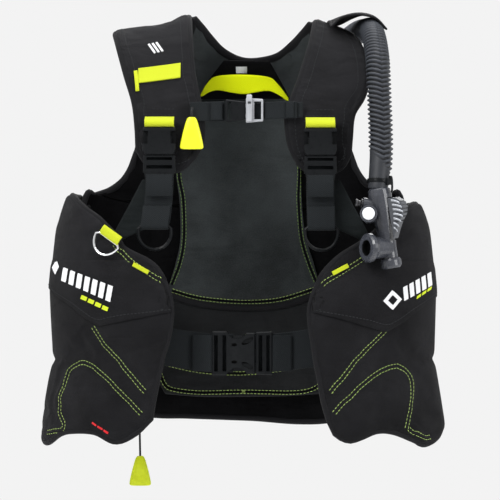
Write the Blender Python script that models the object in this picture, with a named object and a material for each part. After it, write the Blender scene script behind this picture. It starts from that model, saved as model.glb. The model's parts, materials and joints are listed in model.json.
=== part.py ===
"""Jacket-style buoyancy compensator vest, built as separate sewn panels, webbing and hard fittings.

Metres, +Z up, the wearer faces -Y and the wearer's left is +X. The origin is the middle of the
backplate's rear face, where the air cylinder rests. Right and left in names are the wearer's own.
"""

import math

import bpy
import numpy as np
from mathutils import Matrix, Vector

for old in list(bpy.data.objects):
    bpy.data.objects.remove(old, do_unlink=True)

# Driving dimensions of the jacket's ring-shaped body, a superellipse in plan
BODY_CENTRE_Y = -0.149
BODY_DEPTH = 0.121
BODY_POWER = 2 / 2.4
GIRTH_HEIGHTS = (-0.29, -0.24, -0.17, -0.08, 0.0, 0.05, 0.16)
GIRTH_HALF_WIDTHS = (0.247, 0.236, 0.224, 0.226, 0.218, 0.204, 0.196)
POCKET_OFFSET = 0.021
BELT_OFFSET = -0.040

# Webbing, buckles and rings
SHOULDER_WEB = 0.036
WAIST_WEB = 0.050
CHEST_WEB = 0.025
WEB_THICK = 0.0022
CYLINDER_WEB = 0.050
CYLINDER_WEB_THICK = 0.0024
SHOULDER_BUCKLE_WEB = 0.038
SHOULDER_RING_ROD = 0.0044
SHOULDER_RING_HALF = 0.0214
SHOULDER_RING_DROP = 0.0220
POCKET_RING_ROD = 0.0030
POCKET_RING_HALF = 0.0192
POCKET_RING_DROP = 0.0225
RING_TAB_WIDTH = 0.0305

# Half thicknesses of the padded panels as (front, rear, edge)
CELL_PADDING = (0.0095, 0.012, 0.003)
REAR_CELL_PADDING = (0.010, 0.011, 0.003)
POCKET_PADDING = (0.009, 0.0095, 0.0035)
BACK_PADDING = (0.006, 0.006, 0.0025)
WING_PADDING = (0.0008, 0.0008, 0.0008)
COVER_PADDING = (0.0009, 0.0009, 0.0009)
HANDLE_PANEL_PADDING = (0.0012, 0.0012, 0.0012)

# Cylinder band
TANK_RADIUS = 0.092
BAND_RADIUS = TANK_RADIUS + 0.0042
TANK_Y = TANK_RADIUS

# Corrugated hose
HOSE_DIAMETER = 0.0325
CORD_DIAMETER = 0.003


def material(name, colour, roughness, metallic=0.0):
    found = bpy.data.materials.get(name)
    if found:
        return found
    made = bpy.data.materials.new(name)
    made.use_nodes = True
    shader = made.node_tree.nodes["Principled BSDF"]
    shader.inputs["Base Color"].default_value = (*colour, 1.0)
    shader.inputs["Roughness"].default_value = roughness
    shader.inputs["Metallic"].default_value = metallic
    return made


def black_nylon():
    return material("black_nylon", (0.024, 0.023, 0.025), 0.8)


def grey_nylon():
    return material("grey_nylon", (0.02, 0.024, 0.024), 0.7)


def pad_cloth():
    return material("pad_cloth", (0.016, 0.017, 0.018), 0.9)


def black_webbing():
    return material("black_webbing", (0.016, 0.019, 0.02), 0.85)


def yellow_webbing():
    return material("yellow_webbing", (0.80, 0.87, 0.05), 0.7)


def yellow_plastic():
    return material("yellow_plastic", (0.82, 0.85, 0.03), 0.45)


def black_plastic():
    return material("black_plastic", (0.02, 0.021, 0.022), 0.4)


def grey_plastic():
    return material("grey_plastic", (0.30, 0.30, 0.31), 0.45)


def silver_plastic():
    return material("silver_plastic", (0.27, 0.28, 0.29), 0.35)


def hose_rubber():
    return material("hose_rubber", (0.045, 0.05, 0.06), 0.55)


def steel():
    return material("steel", (0.6, 0.6, 0.6), 0.25, 1.0)


# ---------------------------------------------------------------- shape tools


def mesh_object(name, points, faces, look, smooth=False):
    mesh = bpy.data.meshes.new(name)
    mesh.from_pydata([tuple(map(float, p)) for p in points], [], faces)
    mesh.materials.append(look)
    mesh.polygons.foreach_set("use_smooth", [smooth] * len(mesh.polygons))
    mesh.update()
    made = bpy.data.objects.new(name, mesh)
    bpy.context.scene.collection.objects.link(made)
    return made


def curve_through(points, count):
    """Points evenly spaced along a smooth curve through the given ones."""
    p = np.array(points, float)
    if len(p) == 2:
        return p[0] + (p[1] - p[0]) * np.linspace(0, 1, count)[:, None]
    padded = np.vstack([2 * p[0] - p[1], p, 2 * p[-1] - p[-2]])
    fine = []
    for i in range(len(p) - 1):
        a, b, c, d = padded[i : i + 4]
        for t in np.linspace(0, 1, 12, endpoint=False):
            fine.append(
                0.5 * (2 * b + (c - a) * t + (2 * a - 5 * b + 4 * c - d) * t * t
                       + (3 * b - a - 3 * c + d) * t**3)
            )
    fine = np.array(fine + [p[-1]])
    along = np.concatenate([[0], np.cumsum(np.linalg.norm(np.diff(fine, axis=0), axis=1))])
    at = np.linspace(0, along[-1], count)
    return np.stack([np.interp(at, along, fine[:, k]) for k in range(p.shape[1])], axis=1)


def patch(top, bottom, left, right, across, down):
    """A grid of points filling four boundary curves; top and bottom run left to right."""
    t, b = curve_through(top, across + 1), curve_through(bottom, across + 1)
    lf, rt = curve_through(left, down + 1), curve_through(right, down + 1)
    u = np.linspace(0, 1, across + 1)[None, :, None]
    v = np.linspace(0, 1, down + 1)[:, None, None]
    ruled = (1 - v) * t[None] + v * b[None] + (1 - u) * lf[:, None] + u * rt[:, None]
    corners = ((1 - u) * (1 - v) * t[0] + u * (1 - v) * t[-1] + (1 - u) * v * b[0] + u * v * b[-1])
    return ruled - corners


def girth(z):
    """The body's half width at a height."""
    return np.interp(z, GIRTH_HEIGHTS, GIRTH_HALF_WIDTHS)


def angle_at(x, z, offset):
    """The angle round the body, 0 at the front and 90 at the wearer's left, of a point seen at x."""
    share = min(1.0, abs(x) / (girth(z) + offset))
    return math.copysign(math.degrees(math.asin(share ** (1 / BODY_POWER))), x)


def on_body(angle, z, offset):
    """A point on the body at an angle and a height, moved outwards by the offset."""
    turn = np.radians(angle)
    side, front = np.sin(turn), np.cos(turn)
    x = (girth(z) + offset) * np.sign(side) * np.abs(side) ** BODY_POWER
    y = BODY_CENTRE_Y - (BODY_DEPTH + offset) * np.sign(front) * np.abs(front) ** BODY_POWER
    return np.stack([x, y, np.broadcast_to(z, np.shape(x))], axis=-1)


def outward(grid):
    """Unit normals of a grid of points."""
    along = np.gradient(grid, axis=1)
    down = np.gradient(grid, axis=0)
    n = np.cross(along, down)
    return n / np.maximum(np.linalg.norm(n, axis=2, keepdims=True), 1e-9)


def padded(name, grid, front, back, edge, look):
    """A closed padded panel: its thickness swells from edge at the rim to front and back inside."""
    rows, cols = grid.shape[:2]
    n = outward(grid)
    u = np.linspace(0, 1, cols)[None, :, None]
    v = np.linspace(0, 1, rows)[:, None, None]
    swell = np.clip(16 * u * (1 - u) * v * (1 - v), 0, 1) ** 0.35
    outer = grid + n * (edge + (front - edge) * swell)
    inner = grid - n * (edge + (back - edge) * swell)
    points = np.vstack([outer.reshape(-1, 3), inner.reshape(-1, 3)])
    half = rows * cols

    def at(i, j, layer):
        return layer * half + i * cols + j

    faces = []
    for i in range(rows - 1):
        for j in range(cols - 1):
            faces.append((at(i, j, 0), at(i + 1, j, 0), at(i + 1, j + 1, 0), at(i, j + 1, 0)))
            faces.append((at(i, j, 1), at(i, j + 1, 1), at(i + 1, j + 1, 1), at(i + 1, j, 1)))
    rim = [(0, j) for j in range(cols)] + [(i, cols - 1) for i in range(1, rows)]
    rim += [(rows - 1, j) for j in range(cols - 2, -1, -1)] + [(i, 0) for i in range(rows - 2, 0, -1)]
    for (a, b), (c, d) in zip(rim, rim[1:] + rim[:1]):
        faces.append((at(a, b, 0), at(c, d, 0), at(c, d, 1), at(a, b, 1)))
    made = mesh_object(name, points, faces, look, True)
    face_out(made)
    return made


def face_out(made):
    """Turns the faces of a closed mesh outwards."""
    mesh = made.data
    volume = 0.0
    for face in mesh.polygons:
        corners = [mesh.vertices[i].co for i in face.vertices]
        for k in range(1, len(corners) - 1):
            volume += corners[0].dot(corners[k].cross(corners[k + 1]))
    if volume < 0:
        mesh.flip_normals()


def ribbon(name, route, across, width, thick, look, count=14, closed=False):
    """Flat webbing along a route; across is the direction of its width, one or one per point."""
    line = curve_through(route, count)
    if closed:
        line = line[:-1]
    side = np.broadcast_to(np.array(across, float), line.shape)
    ahead = (np.roll(line, -1, axis=0) - np.roll(line, 1, axis=0)) if closed else np.gradient(line, axis=0)
    side = side / np.linalg.norm(side, axis=1)[:, None]
    face = np.cross(side, ahead)
    face /= np.linalg.norm(face, axis=1)[:, None]
    a, b = side * width / 2, face * thick / 2
    rings = np.stack([line + a + b, line - a + b, line - a - b, line + a - b], axis=1)
    n = len(line)
    faces = []
    for i in range(n if closed else n - 1):
        k = (i + 1) % n
        for c in range(4):
            d = (c + 1) % 4
            faces.append((i * 4 + c, i * 4 + d, k * 4 + d, k * 4 + c))
    if not closed:
        faces += [(3, 2, 1, 0), (n * 4 - 4, n * 4 - 3, n * 4 - 2, n * 4 - 1)]
    made = mesh_object(name, rings.reshape(-1, 3), faces, look)
    face_out(made)
    return made


def tube(name, route, diameter, look, count, roundness=3):
    """A cord or hose as a curve with a round bevel and closed ends."""
    curve = bpy.data.curves.new(name, "CURVE")
    curve.dimensions = "3D"
    curve.bevel_depth = diameter / 2
    curve.bevel_resolution = roundness
    curve.use_fill_caps = True
    spline = curve.splines.new("POLY")
    line = curve_through(route, count)
    spline.points.add(len(line) - 1)
    for point, place in zip(spline.points, line):
        point.co = (*place, 1.0)
    curve.materials.append(look)
    made = bpy.data.objects.new(name, curve)
    bpy.context.scene.collection.objects.link(made)
    return made


def ring_rod(name, path, rod, look, sides=8):
    """A closed ring of round rod along a closed path, such as a D-ring."""
    line = np.array(path, float)
    n = len(line)
    middle = line.mean(axis=0)
    ahead = np.roll(line, -1, axis=0) - np.roll(line, 1, axis=0)
    flat = np.cross(line[0] - middle, line[n // 4] - middle)
    flat /= np.linalg.norm(flat)
    points = []
    for place, direction in zip(line, ahead):
        out = np.cross(direction, flat)
        out /= np.linalg.norm(out)
        for k in range(sides):
            turn = 2 * math.pi * k / sides
            points.append(place + rod / 2 * (out * math.cos(turn) + flat * math.sin(turn)))
    faces = []
    for i in range(n):
        j = (i + 1) % n
        for k in range(sides):
            m = (k + 1) % sides
            faces.append((i * sides + k, i * sides + m, j * sides + m, j * sides + k))
    made = mesh_object(name, points, faces, look, True)
    face_out(made)
    return made


def prism(name, outline, depth, look, place=None, bevel=0.0):
    """An outline in local X and Z, extruded by depth along local Y about the middle."""
    n = len(outline)
    points = [(x, -depth / 2, z) for x, z in outline] + [(x, depth / 2, z) for x, z in outline]
    faces = [tuple(range(n)), tuple(range(2 * n - 1, n - 1, -1))]
    faces += [(i, n + i, n + (i + 1) % n, (i + 1) % n) for i in range(n)]
    made = mesh_object(name, points, faces, look)
    face_out(made)
    if place is not None:
        made.matrix_world = place
    if bevel:
        soften(made, bevel)
    return made


def soften(made, width, segments=1):
    edge = made.modifiers.new("edge", "BEVEL")
    edge.width = width
    edge.segments = segments
    edge.limit_method = "ANGLE"
    edge.angle_limit = math.radians(40)


def block(name, low, high, look, place=None, bevel=0.0):
    """A box between two corners of the local frame."""
    outline = [(low[0], low[2]), (high[0], low[2]), (high[0], high[2]), (low[0], high[2])]
    shift = Matrix.Translation((0, (low[1] + high[1]) / 2, 0))
    return prism(name, outline, high[1] - low[1], look, (place or Matrix.Identity(4)) @ shift, bevel)


def lathe(name, profile, look, place, sides=20, smooth=True):
    """A profile of (radius, height) pairs turned about local Z; it may start or end on the axis."""
    points, faces, rings = [], [], []
    for radius, height in profile:
        if radius < 1e-6:
            rings.append([len(points)])
            points.append((0, 0, height))
            continue
        rings.append(list(range(len(points), len(points) + sides)))
        for k in range(sides):
            turn = 2 * math.pi * k / sides
            points.append((radius * math.cos(turn), radius * math.sin(turn), height))
    closed = len(rings[0]) > 1
    pairs = list(zip(rings, rings[1:])) + ([(rings[-1], rings[0])] if closed else [])
    for a, b in pairs:
        for k in range(sides):
            m = (k + 1) % sides
            if len(a) == 1:
                faces.append((a[0], b[m], b[k]))
            elif len(b) == 1:
                faces.append((a[k], a[m], b[0]))
            else:
                faces.append((a[k], a[m], b[m], b[k]))
    made = mesh_object(name, points, faces, look, smooth)
    face_out(made)
    made.matrix_world = place
    return made


def cut(made, cutter):
    """Subtracts a hidden cutter."""
    cutter.hide_render = True
    cutter.display_type = "WIRE"
    hole = made.modifiers.new("cut", "BOOLEAN")
    hole.operation = "DIFFERENCE"
    hole.solver = "EXACT"
    hole.object = cutter
    return made


def join(made, other):
    """Adds a hidden helper solid to a part."""
    other.hide_render = True
    other.display_type = "WIRE"
    both = made.modifiers.new("join", "BOOLEAN")
    both.operation = "UNION"
    both.solver = "EXACT"
    both.object = other
    return made


def cut_box(made, low, high, place):
    return cut(made, block("cutter", low, high, black_plastic(), place))


def join_box(made, low, high, place):
    return join(made, block("helper", low, high, black_plastic(), place))


def facing(place, direction):
    """A frame at a place with its local Z along a direction."""
    turn = Vector(direction).normalized().to_track_quat("Z", "Y")
    return Matrix.Translation(place) @ turn.to_matrix().to_4x4()


# ---------------------------------------------------------------- sewn panels


def body_points(seen, offset):
    """Angle and height pairs for points given as seen from the front, x and z."""
    return [(angle_at(x, z, offset), z) for x, z in seen]


RIGHT_TOP = [(-0.222, 0.044), (-0.193, 0.020), (-0.174, 0.004), (-0.161, -0.010),
             (-0.153, -0.023), (-0.138, -0.032), (-0.123, -0.039), (-0.110, -0.049), (-0.100, -0.065)]
RIGHT_INNER = [(-0.100, -0.065), (-0.092, -0.084), (-0.089, -0.110), (-0.094, -0.142),
               (-0.101, -0.165), (-0.111, -0.212), (-0.116, -0.242)]
RIGHT_HEM = [(-0.275, -0.270), (-0.257, -0.281), (-0.237, -0.267), (-0.219, -0.262), (-0.190, -0.262),
             (-0.163, -0.273), (-0.138, -0.263), (-0.116, -0.242)]
LEFT_TOP = [(0.222, 0.033), (0.198, 0.018), (0.176, 0.002), (0.160, -0.012), (0.146, -0.021),
            (0.125, -0.034), (0.108, -0.050), (0.098, -0.064)]
LEFT_INNER = [(0.098, -0.064), (0.088, -0.086), (0.084, -0.110), (0.089, -0.145),
              (0.096, -0.185), (0.102, -0.218), (0.110, -0.245)]
LEFT_HEM = [(0.264, -0.262), (0.240, -0.280), (0.222, -0.274), (0.194, -0.262), (0.172, -0.260),
            (0.150, -0.268), (0.135, -0.271), (0.118, -0.262), (0.110, -0.245)]
LOBE_REAR = (96, 103, 111)
POCKET_REAR = (104, 113, 121)


def lobe_grid(side, top, inner, hem, offset, rear, across, down, shrink=0.0):
    """The wrap-round front lobe's surface; side is -1 for the right and 1 for the left.

    rear holds the angles of its rear edge at the top, the middle and the hem.
    """
    lift = np.array([0.0, -1.0]) * shrink
    turn = np.degrees(shrink / (BODY_DEPTH + offset))
    top_line = [np.array(p) + lift for p in body_points(top, offset)]
    hem_line = [np.array(p) - lift for p in body_points(hem, offset)]
    inner_line = [np.array(p) + (side * turn, 0) for p in body_points(inner, offset)]
    top_line.insert(0, np.array([side * rear[0], top_line[0][1] + 0.001]))
    hem_line.insert(0, np.array([side * rear[2], hem_line[0][1] + 0.012]))
    top_line[-1] = inner_line[0] = np.array([inner_line[0][0], top_line[-1][1]])
    hem_line[-1] = inner_line[-1] = np.array([inner_line[-1][0], hem_line[-1][1]])
    rear_line = [top_line[0], np.array([side * rear[1], -0.10]), hem_line[0]]
    flat = patch(top_line, hem_line, rear_line, inner_line, across, down)
    return on_body(flat[..., 0], flat[..., 1], offset)


def lobes_and_pockets():
    for side, word, top, inner, hem in (
        (-1, "right", RIGHT_TOP, RIGHT_INNER, RIGHT_HEM),
        (1, "left", LEFT_TOP, LEFT_INNER, LEFT_HEM),
    ):
        cell = lobe_grid(side, top, inner, hem, -0.002, LOBE_REAR, 14, 10, 0.012)
        padded(f"air_cell_lobe_{word}", side_out(cell, side), *CELL_PADDING, grey_nylon())
        pocket = lobe_grid(side, top, inner, hem, POCKET_OFFSET, POCKET_REAR, 20, 14)
        padded(f"pocket_{word}", side_out(pocket, side), *POCKET_PADDING, black_nylon())


def side_out(grid, side):
    """The grid with its columns ordered so that its normals point away from the wearer."""
    return grid[:, ::-1] if side > 0 else grid


ARMHOLE = [(0.128, 0.150), (0.146, 0.111), (0.155, 0.085), (0.166, 0.067), (0.181, 0.054), (0.195, 0.047)]


def back_cell():
    """The air cell across the back, from the hem to the shoulder blades."""
    rear = [(180 - angle_at(x, z, 0.0), z) for x, z in ARMHOLE]
    left = rear + [(100, 0.038), (107.5, -0.10), (115.5, -0.235)]
    right = [(360 - a, z) for a, z in left]
    top = [left[0], (180, 0.150), right[0]]
    hem = [left[-1], (150, -0.262), (165, -0.267), (180, -0.262), (195, -0.259), (210, -0.256), right[-1]]
    flat = patch(top, hem, left, right, 26, 14)
    offset = 0.011 * (np.abs(flat[..., 0] - 180) / 80) ** 3
    grid = on_body(flat[..., 0], flat[..., 1], offset)
    padded("air_cell_back", grid, *REAR_CELL_PADDING, grey_nylon())


def yoke():
    """The collar and upper back, from the shoulder blades to the neckline."""
    left = [(-0.0662, -0.132, 0.2855), (-0.0720, -0.115, 0.2650), (-0.096, -0.094, 0.246),
            (-0.122, -0.076, 0.228),
            (-0.138, -0.056, 0.200), (-0.134, -0.046, 0.158)]
    right = [(0.0915, -0.132, 0.2785), (0.0970, -0.115, 0.2590), (0.110, -0.094, 0.240),
             (0.130, -0.076, 0.226),
             (0.142, -0.056, 0.200), (0.134, -0.046, 0.158)]
    top = [left[0], (-0.056, -0.116, 0.2750), (-0.045, -0.100, 0.2625), (-0.030, -0.086, 0.2480),
           (-0.008, -0.077, 0.2365), (0.015, -0.077, 0.2335), (0.0465, -0.084, 0.2395),
           (0.069, -0.100, 0.2555), (0.082, -0.118, 0.2680), right[0]]
    bottom = [left[-1], (-0.07, -0.032, 0.156), (0.0, -0.030, 0.156), (0.07, -0.032, 0.156), right[-1]]
    grid = patch(top, bottom, left, right, 20, 9)
    padded("yoke", grid[:, ::-1], 0.0035, 0.0035, 0.0028, grey_nylon())


def back_pads():
    """The padded centre panel and the lumbar panel that lie against the wearer."""
    y = -0.056
    top = [(-0.080, y, 0.176), (0.0, y + 0.004, 0.178), (0.078, y, 0.176)]
    left = [(-0.080, y, 0.176), (-0.094, y, 0.130), (-0.093, y, 0.081), (-0.088, y, 0.040),
            (-0.087, y, -0.013),
            (-0.094, y, -0.048), (-0.105, y, -0.084)]
    right = [(0.078, y, 0.176), (0.082, y, 0.130), (0.080, y, 0.081), (0.081, y, 0.042), (0.086, y, -0.006),
             (0.098, y, -0.046), (0.108, y, -0.082)]
    low = [(-0.105, y, -0.084), (-0.059, y, -0.098), (0.003, y, -0.103), (0.058, y, -0.099),
           (0.108, y, -0.082)]
    grid = patch(top, low, left, right, 12, 14)
    padded("back_pad", grid, *BACK_PADDING, grey_nylon())
    top = [(-0.112, y, -0.091), (-0.059, y, -0.106), (0.003, y, -0.111), (0.058, y, -0.107),
           (0.114, y, -0.089)]
    left = [top[0], (-0.122, y, -0.150), (-0.122, y, -0.195), (-0.108, y, -0.226)]
    right = [top[-1], (0.120, y, -0.150), (0.120, y, -0.195), (0.106, y, -0.226)]
    low = [left[-1], (-0.050, y, -0.230), (0.050, y, -0.229), right[-1]]
    grid = patch(top, low, left, right, 12, 8)
    padded("lumbar_pad", grid, *BACK_PADDING, pad_cloth())


PAD_CROWN = 0.005


def crowned(grid):
    """The pad's grid raised along its middle where it lies over the shoulder."""
    rows, cols = grid.shape[:2]
    across = np.sin(np.pi * np.linspace(0, 1, cols))[None, :]
    over = np.exp(-(((np.linspace(0, 1, rows) - 0.33) / 0.18) ** 2))[:, None]
    grid[..., 2] += PAD_CROWN * across * over
    return grid


PAD_HALF = 0.007  # half the thickness of a shoulder pad
PAD_EDGE = 0.0035
PAD_GRID = (8, 22)
PAD_OUTER_RIGHT = [(-0.160, -0.044, 0.216), (-0.165, -0.058, 0.238), (-0.170, -0.088, 0.256),
                   (-0.172, -0.132, 0.2625), (-0.165, -0.180, 0.242), (-0.153, -0.209, 0.203),
                   (-0.141, -0.224, 0.165), (-0.1365, -0.231, 0.132), (-0.135, -0.233, 0.103)]
PAD_INNER_RIGHT = [(-0.084, -0.036, 0.226), (-0.082, -0.054, 0.254), (-0.0735, -0.088, 0.276),
                   (-0.0715, -0.132, 0.2850), (-0.069, -0.183, 0.252), (-0.065, -0.210, 0.205),
                   (-0.057, -0.224, 0.167), (-0.052, -0.230, 0.142), (-0.053, -0.233, 0.116),
                   (-0.062, -0.234, 0.096)]
PAD_TIP_RIGHT = [(-0.122, -0.234, 0.084), (-0.100, -0.235, 0.075), (-0.080, -0.235, 0.078)]
PAD_OUTER_LEFT = [(0.146, -0.044, 0.214), (0.146, -0.058, 0.234), (0.146, -0.088, 0.253),
                  (0.147, -0.132, 0.2605), (0.159, -0.172, 0.236), (0.163, -0.200, 0.205),
                  (0.158, -0.216, 0.176), (0.143, -0.226, 0.150), (0.139, -0.231, 0.120),
                  (0.137, -0.233, 0.098)]
PAD_INNER_LEFT = [(0.094, -0.036, 0.224), (0.096, -0.054, 0.250), (0.0975, -0.088, 0.271),
                  (0.0965, -0.132, 0.2785), (0.089, -0.183, 0.244), (0.075, -0.212, 0.198),
                  (0.061, -0.226, 0.160), (0.057, -0.230, 0.142), (0.061, -0.233, 0.110),
                  (0.074, -0.234, 0.084)]
PAD_TIP_LEFT = [(0.128, -0.234, 0.080), (0.110, -0.235, 0.072), (0.090, -0.235, 0.073)]


def shoulder_pad_grid(outer, inner, tip):
    rear = [outer[0], inner[0]]
    front = [outer[-1], *tip, inner[-1]]
    return crowned(patch(rear, front, outer, inner, *PAD_GRID))


def shoulder_pads():
    """The two straps that come over the shoulders and down the chest."""
    grid = shoulder_pad_grid(PAD_OUTER_RIGHT, PAD_INNER_RIGHT, PAD_TIP_RIGHT)
    padded("shoulder_pad_right", grid[:, ::-1], PAD_HALF, PAD_HALF, PAD_EDGE, pad_cloth())
    grid = shoulder_pad_grid(PAD_OUTER_LEFT, PAD_INNER_LEFT, PAD_TIP_LEFT)
    padded("shoulder_pad_left", grid, PAD_HALF, PAD_HALF, PAD_EDGE, pad_cloth())


def strap_wings():
    """Thin gussets from the lobes up to the shoulder webbing."""
    for side, word, shift in ((-1, "right", 0.0), (1, "left", -0.004)):
        def at(x, y, z):
            return (side * (x + shift), y, z)

        top = [at(0.130, -0.2315, 0.064), at(0.100, -0.2325, 0.064)]
        outer = [top[0], at(0.148, -0.229, 0.030), at(0.166, -0.222, -0.003), at(0.170, -0.2195, -0.020)]
        inner = [top[-1], at(0.097, -0.2335, 0.030), at(0.096, -0.2345, 0.012)]
        low = [outer[-1], at(0.140, -0.228, -0.006), inner[-1]]
        grid = patch(top, low, outer, inner, 6, 8)
        padded(f"strap_wing_{word}", side_out(grid, -side), *WING_PADDING, grey_nylon())


def hose_cover():
    """The flap on the left shoulder that arches over the hose."""
    near = [(0.1180, -0.172, 0.2660), (0.130, -0.172, 0.2740), (0.146, -0.172, 0.2795),
            (0.162, -0.172, 0.2820),
            (0.1800, -0.172, 0.2798), (0.1920, -0.174, 0.2650)]
    far = [(0.114, -0.108, 0.2800), (0.130, -0.104, 0.2875), (0.148, -0.102, 0.2925),
           (0.163, -0.102, 0.2930),
           (0.1790, -0.102, 0.2900), (0.1895, -0.104, 0.2765)]
    grid = patch(far, near, [far[0], (0.115, -0.140, 0.2790), near[0]], [far[-1], near[-1]], 14, 5)
    padded("hose_cover", grid, *COVER_PADDING, black_nylon())


def shoulder_loop():
    """The bright band across the right shoulder, a loop for a spare regulator's hose."""
    route = [(-0.1350, -0.2275, 0.1995), (-0.116, -0.2275, 0.2030), (-0.098, -0.2285, 0.2058),
             (-0.080, -0.2300, 0.2072)]
    ribbon("shoulder_band_right", route, (0, 0.45, 0.89), 0.0225, WEB_THICK, yellow_webbing(), 12)


# ---------------------------------------------------------------- webbing and buckles

BUCKLE_Y = -0.2515
RIGHT_BUCKLE = (-0.107, 0.0)
LEFT_BUCKLE = (0.100, -0.001)


def shoulder_frames():
    for word, (x, z) in (("right", RIGHT_BUCKLE), ("left", LEFT_BUCKLE)):
        yield word, Matrix.Translation((x, BUCKLE_Y, z))


def shoulder_buckles():
    """Side-release buckles: a socket on the pad, and a plug with a ladder that runs on the webbing."""
    for word, place in shoulder_frames():
        anchor = [(0, 0.0045, 0.1316), (0, 0.0012, 0.1350), (0, 0.0022, 0.1405), (0, 0.0055, 0.145)]
        spots = [tuple(place @ Vector(p)) for p in anchor]
        ribbon(f"buckle_anchor_{word}", spots, (1, 0, 0), SHOULDER_BUCKLE_WEB, WEB_THICK, yellow_webbing(), 8)
        shape = [(-0.0185, 0.0955), (0.0185, 0.0955), (0.021, 0.102), (0.021, 0.1305), (-0.021, 0.1305),
                 (-0.021, 0.102)]
        socket = prism(f"buckle_socket_{word}", shape, 0.013, black_plastic(), place, 0.0012)
        cut_box(socket, (-0.0165, -0.0042, 0.09), (0.0165, 0.0042, 0.1225), place)
        for side in (-1, 1):
            low, high = sorted((side * 0.0145, side * 0.030))
            cut_box(socket, (low, -0.0200, 0.1095), (high, 0.0045, 0.1260), place)
        shape = [(-0.021, 0.072), (0.021, 0.072), (0.0205, 0.0945), (-0.0205, 0.0945)]
        plug = prism(f"buckle_plug_{word}", shape, 0.009, black_plastic(),
                     place @ Matrix.Translation((0, -0.001, 0)), 0.0008)
        join(plug, prism("helper", [(-0.017, 0.057), (0.017, 0.057), (0.0195, 0.074), (-0.0195, 0.074)],
                         0.0025,
                         black_plastic(), place @ Matrix.Translation((0, -0.0040, 0))))
        for x in (-0.0125, 0.0, 0.0125):
            join_box(plug, (x - 0.0035, -0.0034, 0.092), (x + 0.0035, 0.0034, 0.119), place)
        for low, high in ((0.0775, 0.0820), (0.0885, 0.0922)):
            cut_box(plug, (-0.0165, -0.02, low), (0.0165, 0.02, high), place)


def shoulder_webbing():
    """Webbing from the buckles down to the D-rings, and the rings."""
    for word, place in shoulder_frames():
        lean = -0.004 if word == "right" else 0.001
        web = [(0.0, 0.0052, 0.0935), (0.0, 0.0052, 0.060), (0.3 * lean, 0.0062, 0.040),
               (lean, 0.0075, 0.011)]
        spots = [tuple(place @ Vector(p)) for p in web]
        ribbon(f"shoulder_webbing_{word}", spots, (1, 0, 0), SHOULDER_WEB, WEB_THICK, black_webbing(), 8)
        middle = place @ Vector((1.6 * lean, 0.0085, 0.0035))
        path = [(SHOULDER_RING_HALF * t, 0.0005) for t in (-0.8, -0.4, 0.0, 0.4, 0.8)]
        path += [(SHOULDER_RING_HALF * math.cos(a), -0.008 + SHOULDER_RING_DROP * math.sin(a))
                 for a in np.radians(np.linspace(12, -192, 13))]
        spots = [(middle.x + x, middle.y - 0.0045 - 0.10 * z, middle.z + z) for x, z in path]
        ring_rod(f"shoulder_d_ring_{word}", spots, SHOULDER_RING_ROD, black_plastic())


WAIST_Z = -0.161
WAIST_Y = -0.226


def belt_route(side):
    """The waist webbing from the buckle round the wearer, inside the lobes."""
    spots = [(side * 0.012, WAIST_Y + 0.0067, WAIST_Z), (side * 0.040, WAIST_Y + 0.0067, WAIST_Z)]
    for angle, z in ((24, -0.155), (38, -0.149), (55, -0.141), (75, -0.132), (95, -0.125)):
        x, y, z = on_body(side * angle, z, BELT_OFFSET)
        # it stays behind the plug's path near the buckle
        spots.append((x, max(y, WAIST_Y + 0.0072), z))
    return spots


def waist_belt():
    for side, word in ((-1, "right"), (1, "left")):
        ribbon(f"waist_webbing_{word}", belt_route(side), (0, 0, 1), WAIST_WEB, WEB_THICK, black_webbing(),
               18)


def notch_outline(x, z, half_width, half_height, tilt=0.0):
    """An oval outline in local X and Z, its long way tilted by an angle in radians."""
    turns = np.radians(np.linspace(0, 360, 17)[:-1])
    c, s = math.cos(tilt), math.sin(tilt)
    oval = [(half_width * math.cos(a), half_height * math.sin(a)) for a in turns]
    return [(x + c * u - s * v, z + s * u + c * v) for u, v in oval]


WAIST_HALF_HEIGHT = 0.0285
WAIST_BUCKLE_THICK = 0.010
WAIST_SLOT_HALF = 0.0235  # half the length of the slots that the webbing runs through
WAIST_SOCKET_SLOTS = ((-0.0372, -0.0322), (-0.0262, -0.0212))
WAIST_PLUG_SLOTS = ((0.0205, 0.0255), (0.0305, 0.0355))
WAIST_NOTCH = (-0.0075, 0.0340, 0.0150, 0.0155)  # x, z, half width and half height of the finger notch
WAIST_WINDOWS = ((-0.0110, 0.0112, 0.0036, 0.0022, 0.0), (0.0062, 0.0160, 0.0085, 0.0034, 0.5))
WAIST_PRONGS = (-0.0180, 0.0, 0.0180)


def waist_buckle():
    """A side-release buckle: the socket at the wearer's right, the plug at the left."""
    place = Matrix.Translation((0, WAIST_Y, WAIST_Z))
    waist_socket(place)
    high = WAIST_HALF_HEIGHT
    shape = [(0.0168, -0.0275), (0.0385, -high), (0.0385, high), (0.0168, 0.0275)]
    plug = prism("waist_buckle_plug", shape, WAIST_BUCKLE_THICK, black_plastic(), place, 0.0012)
    for low, top in WAIST_PLUG_SLOTS:
        cut_box(plug, (low, -0.02, -WAIST_SLOT_HALF), (top, 0.02, WAIST_SLOT_HALF), place)
    for z in WAIST_PRONGS:
        join_box(plug, (-0.012, -0.0025, z - 0.0050), (0.0190, 0.0025, z + 0.0050), place)


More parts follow.
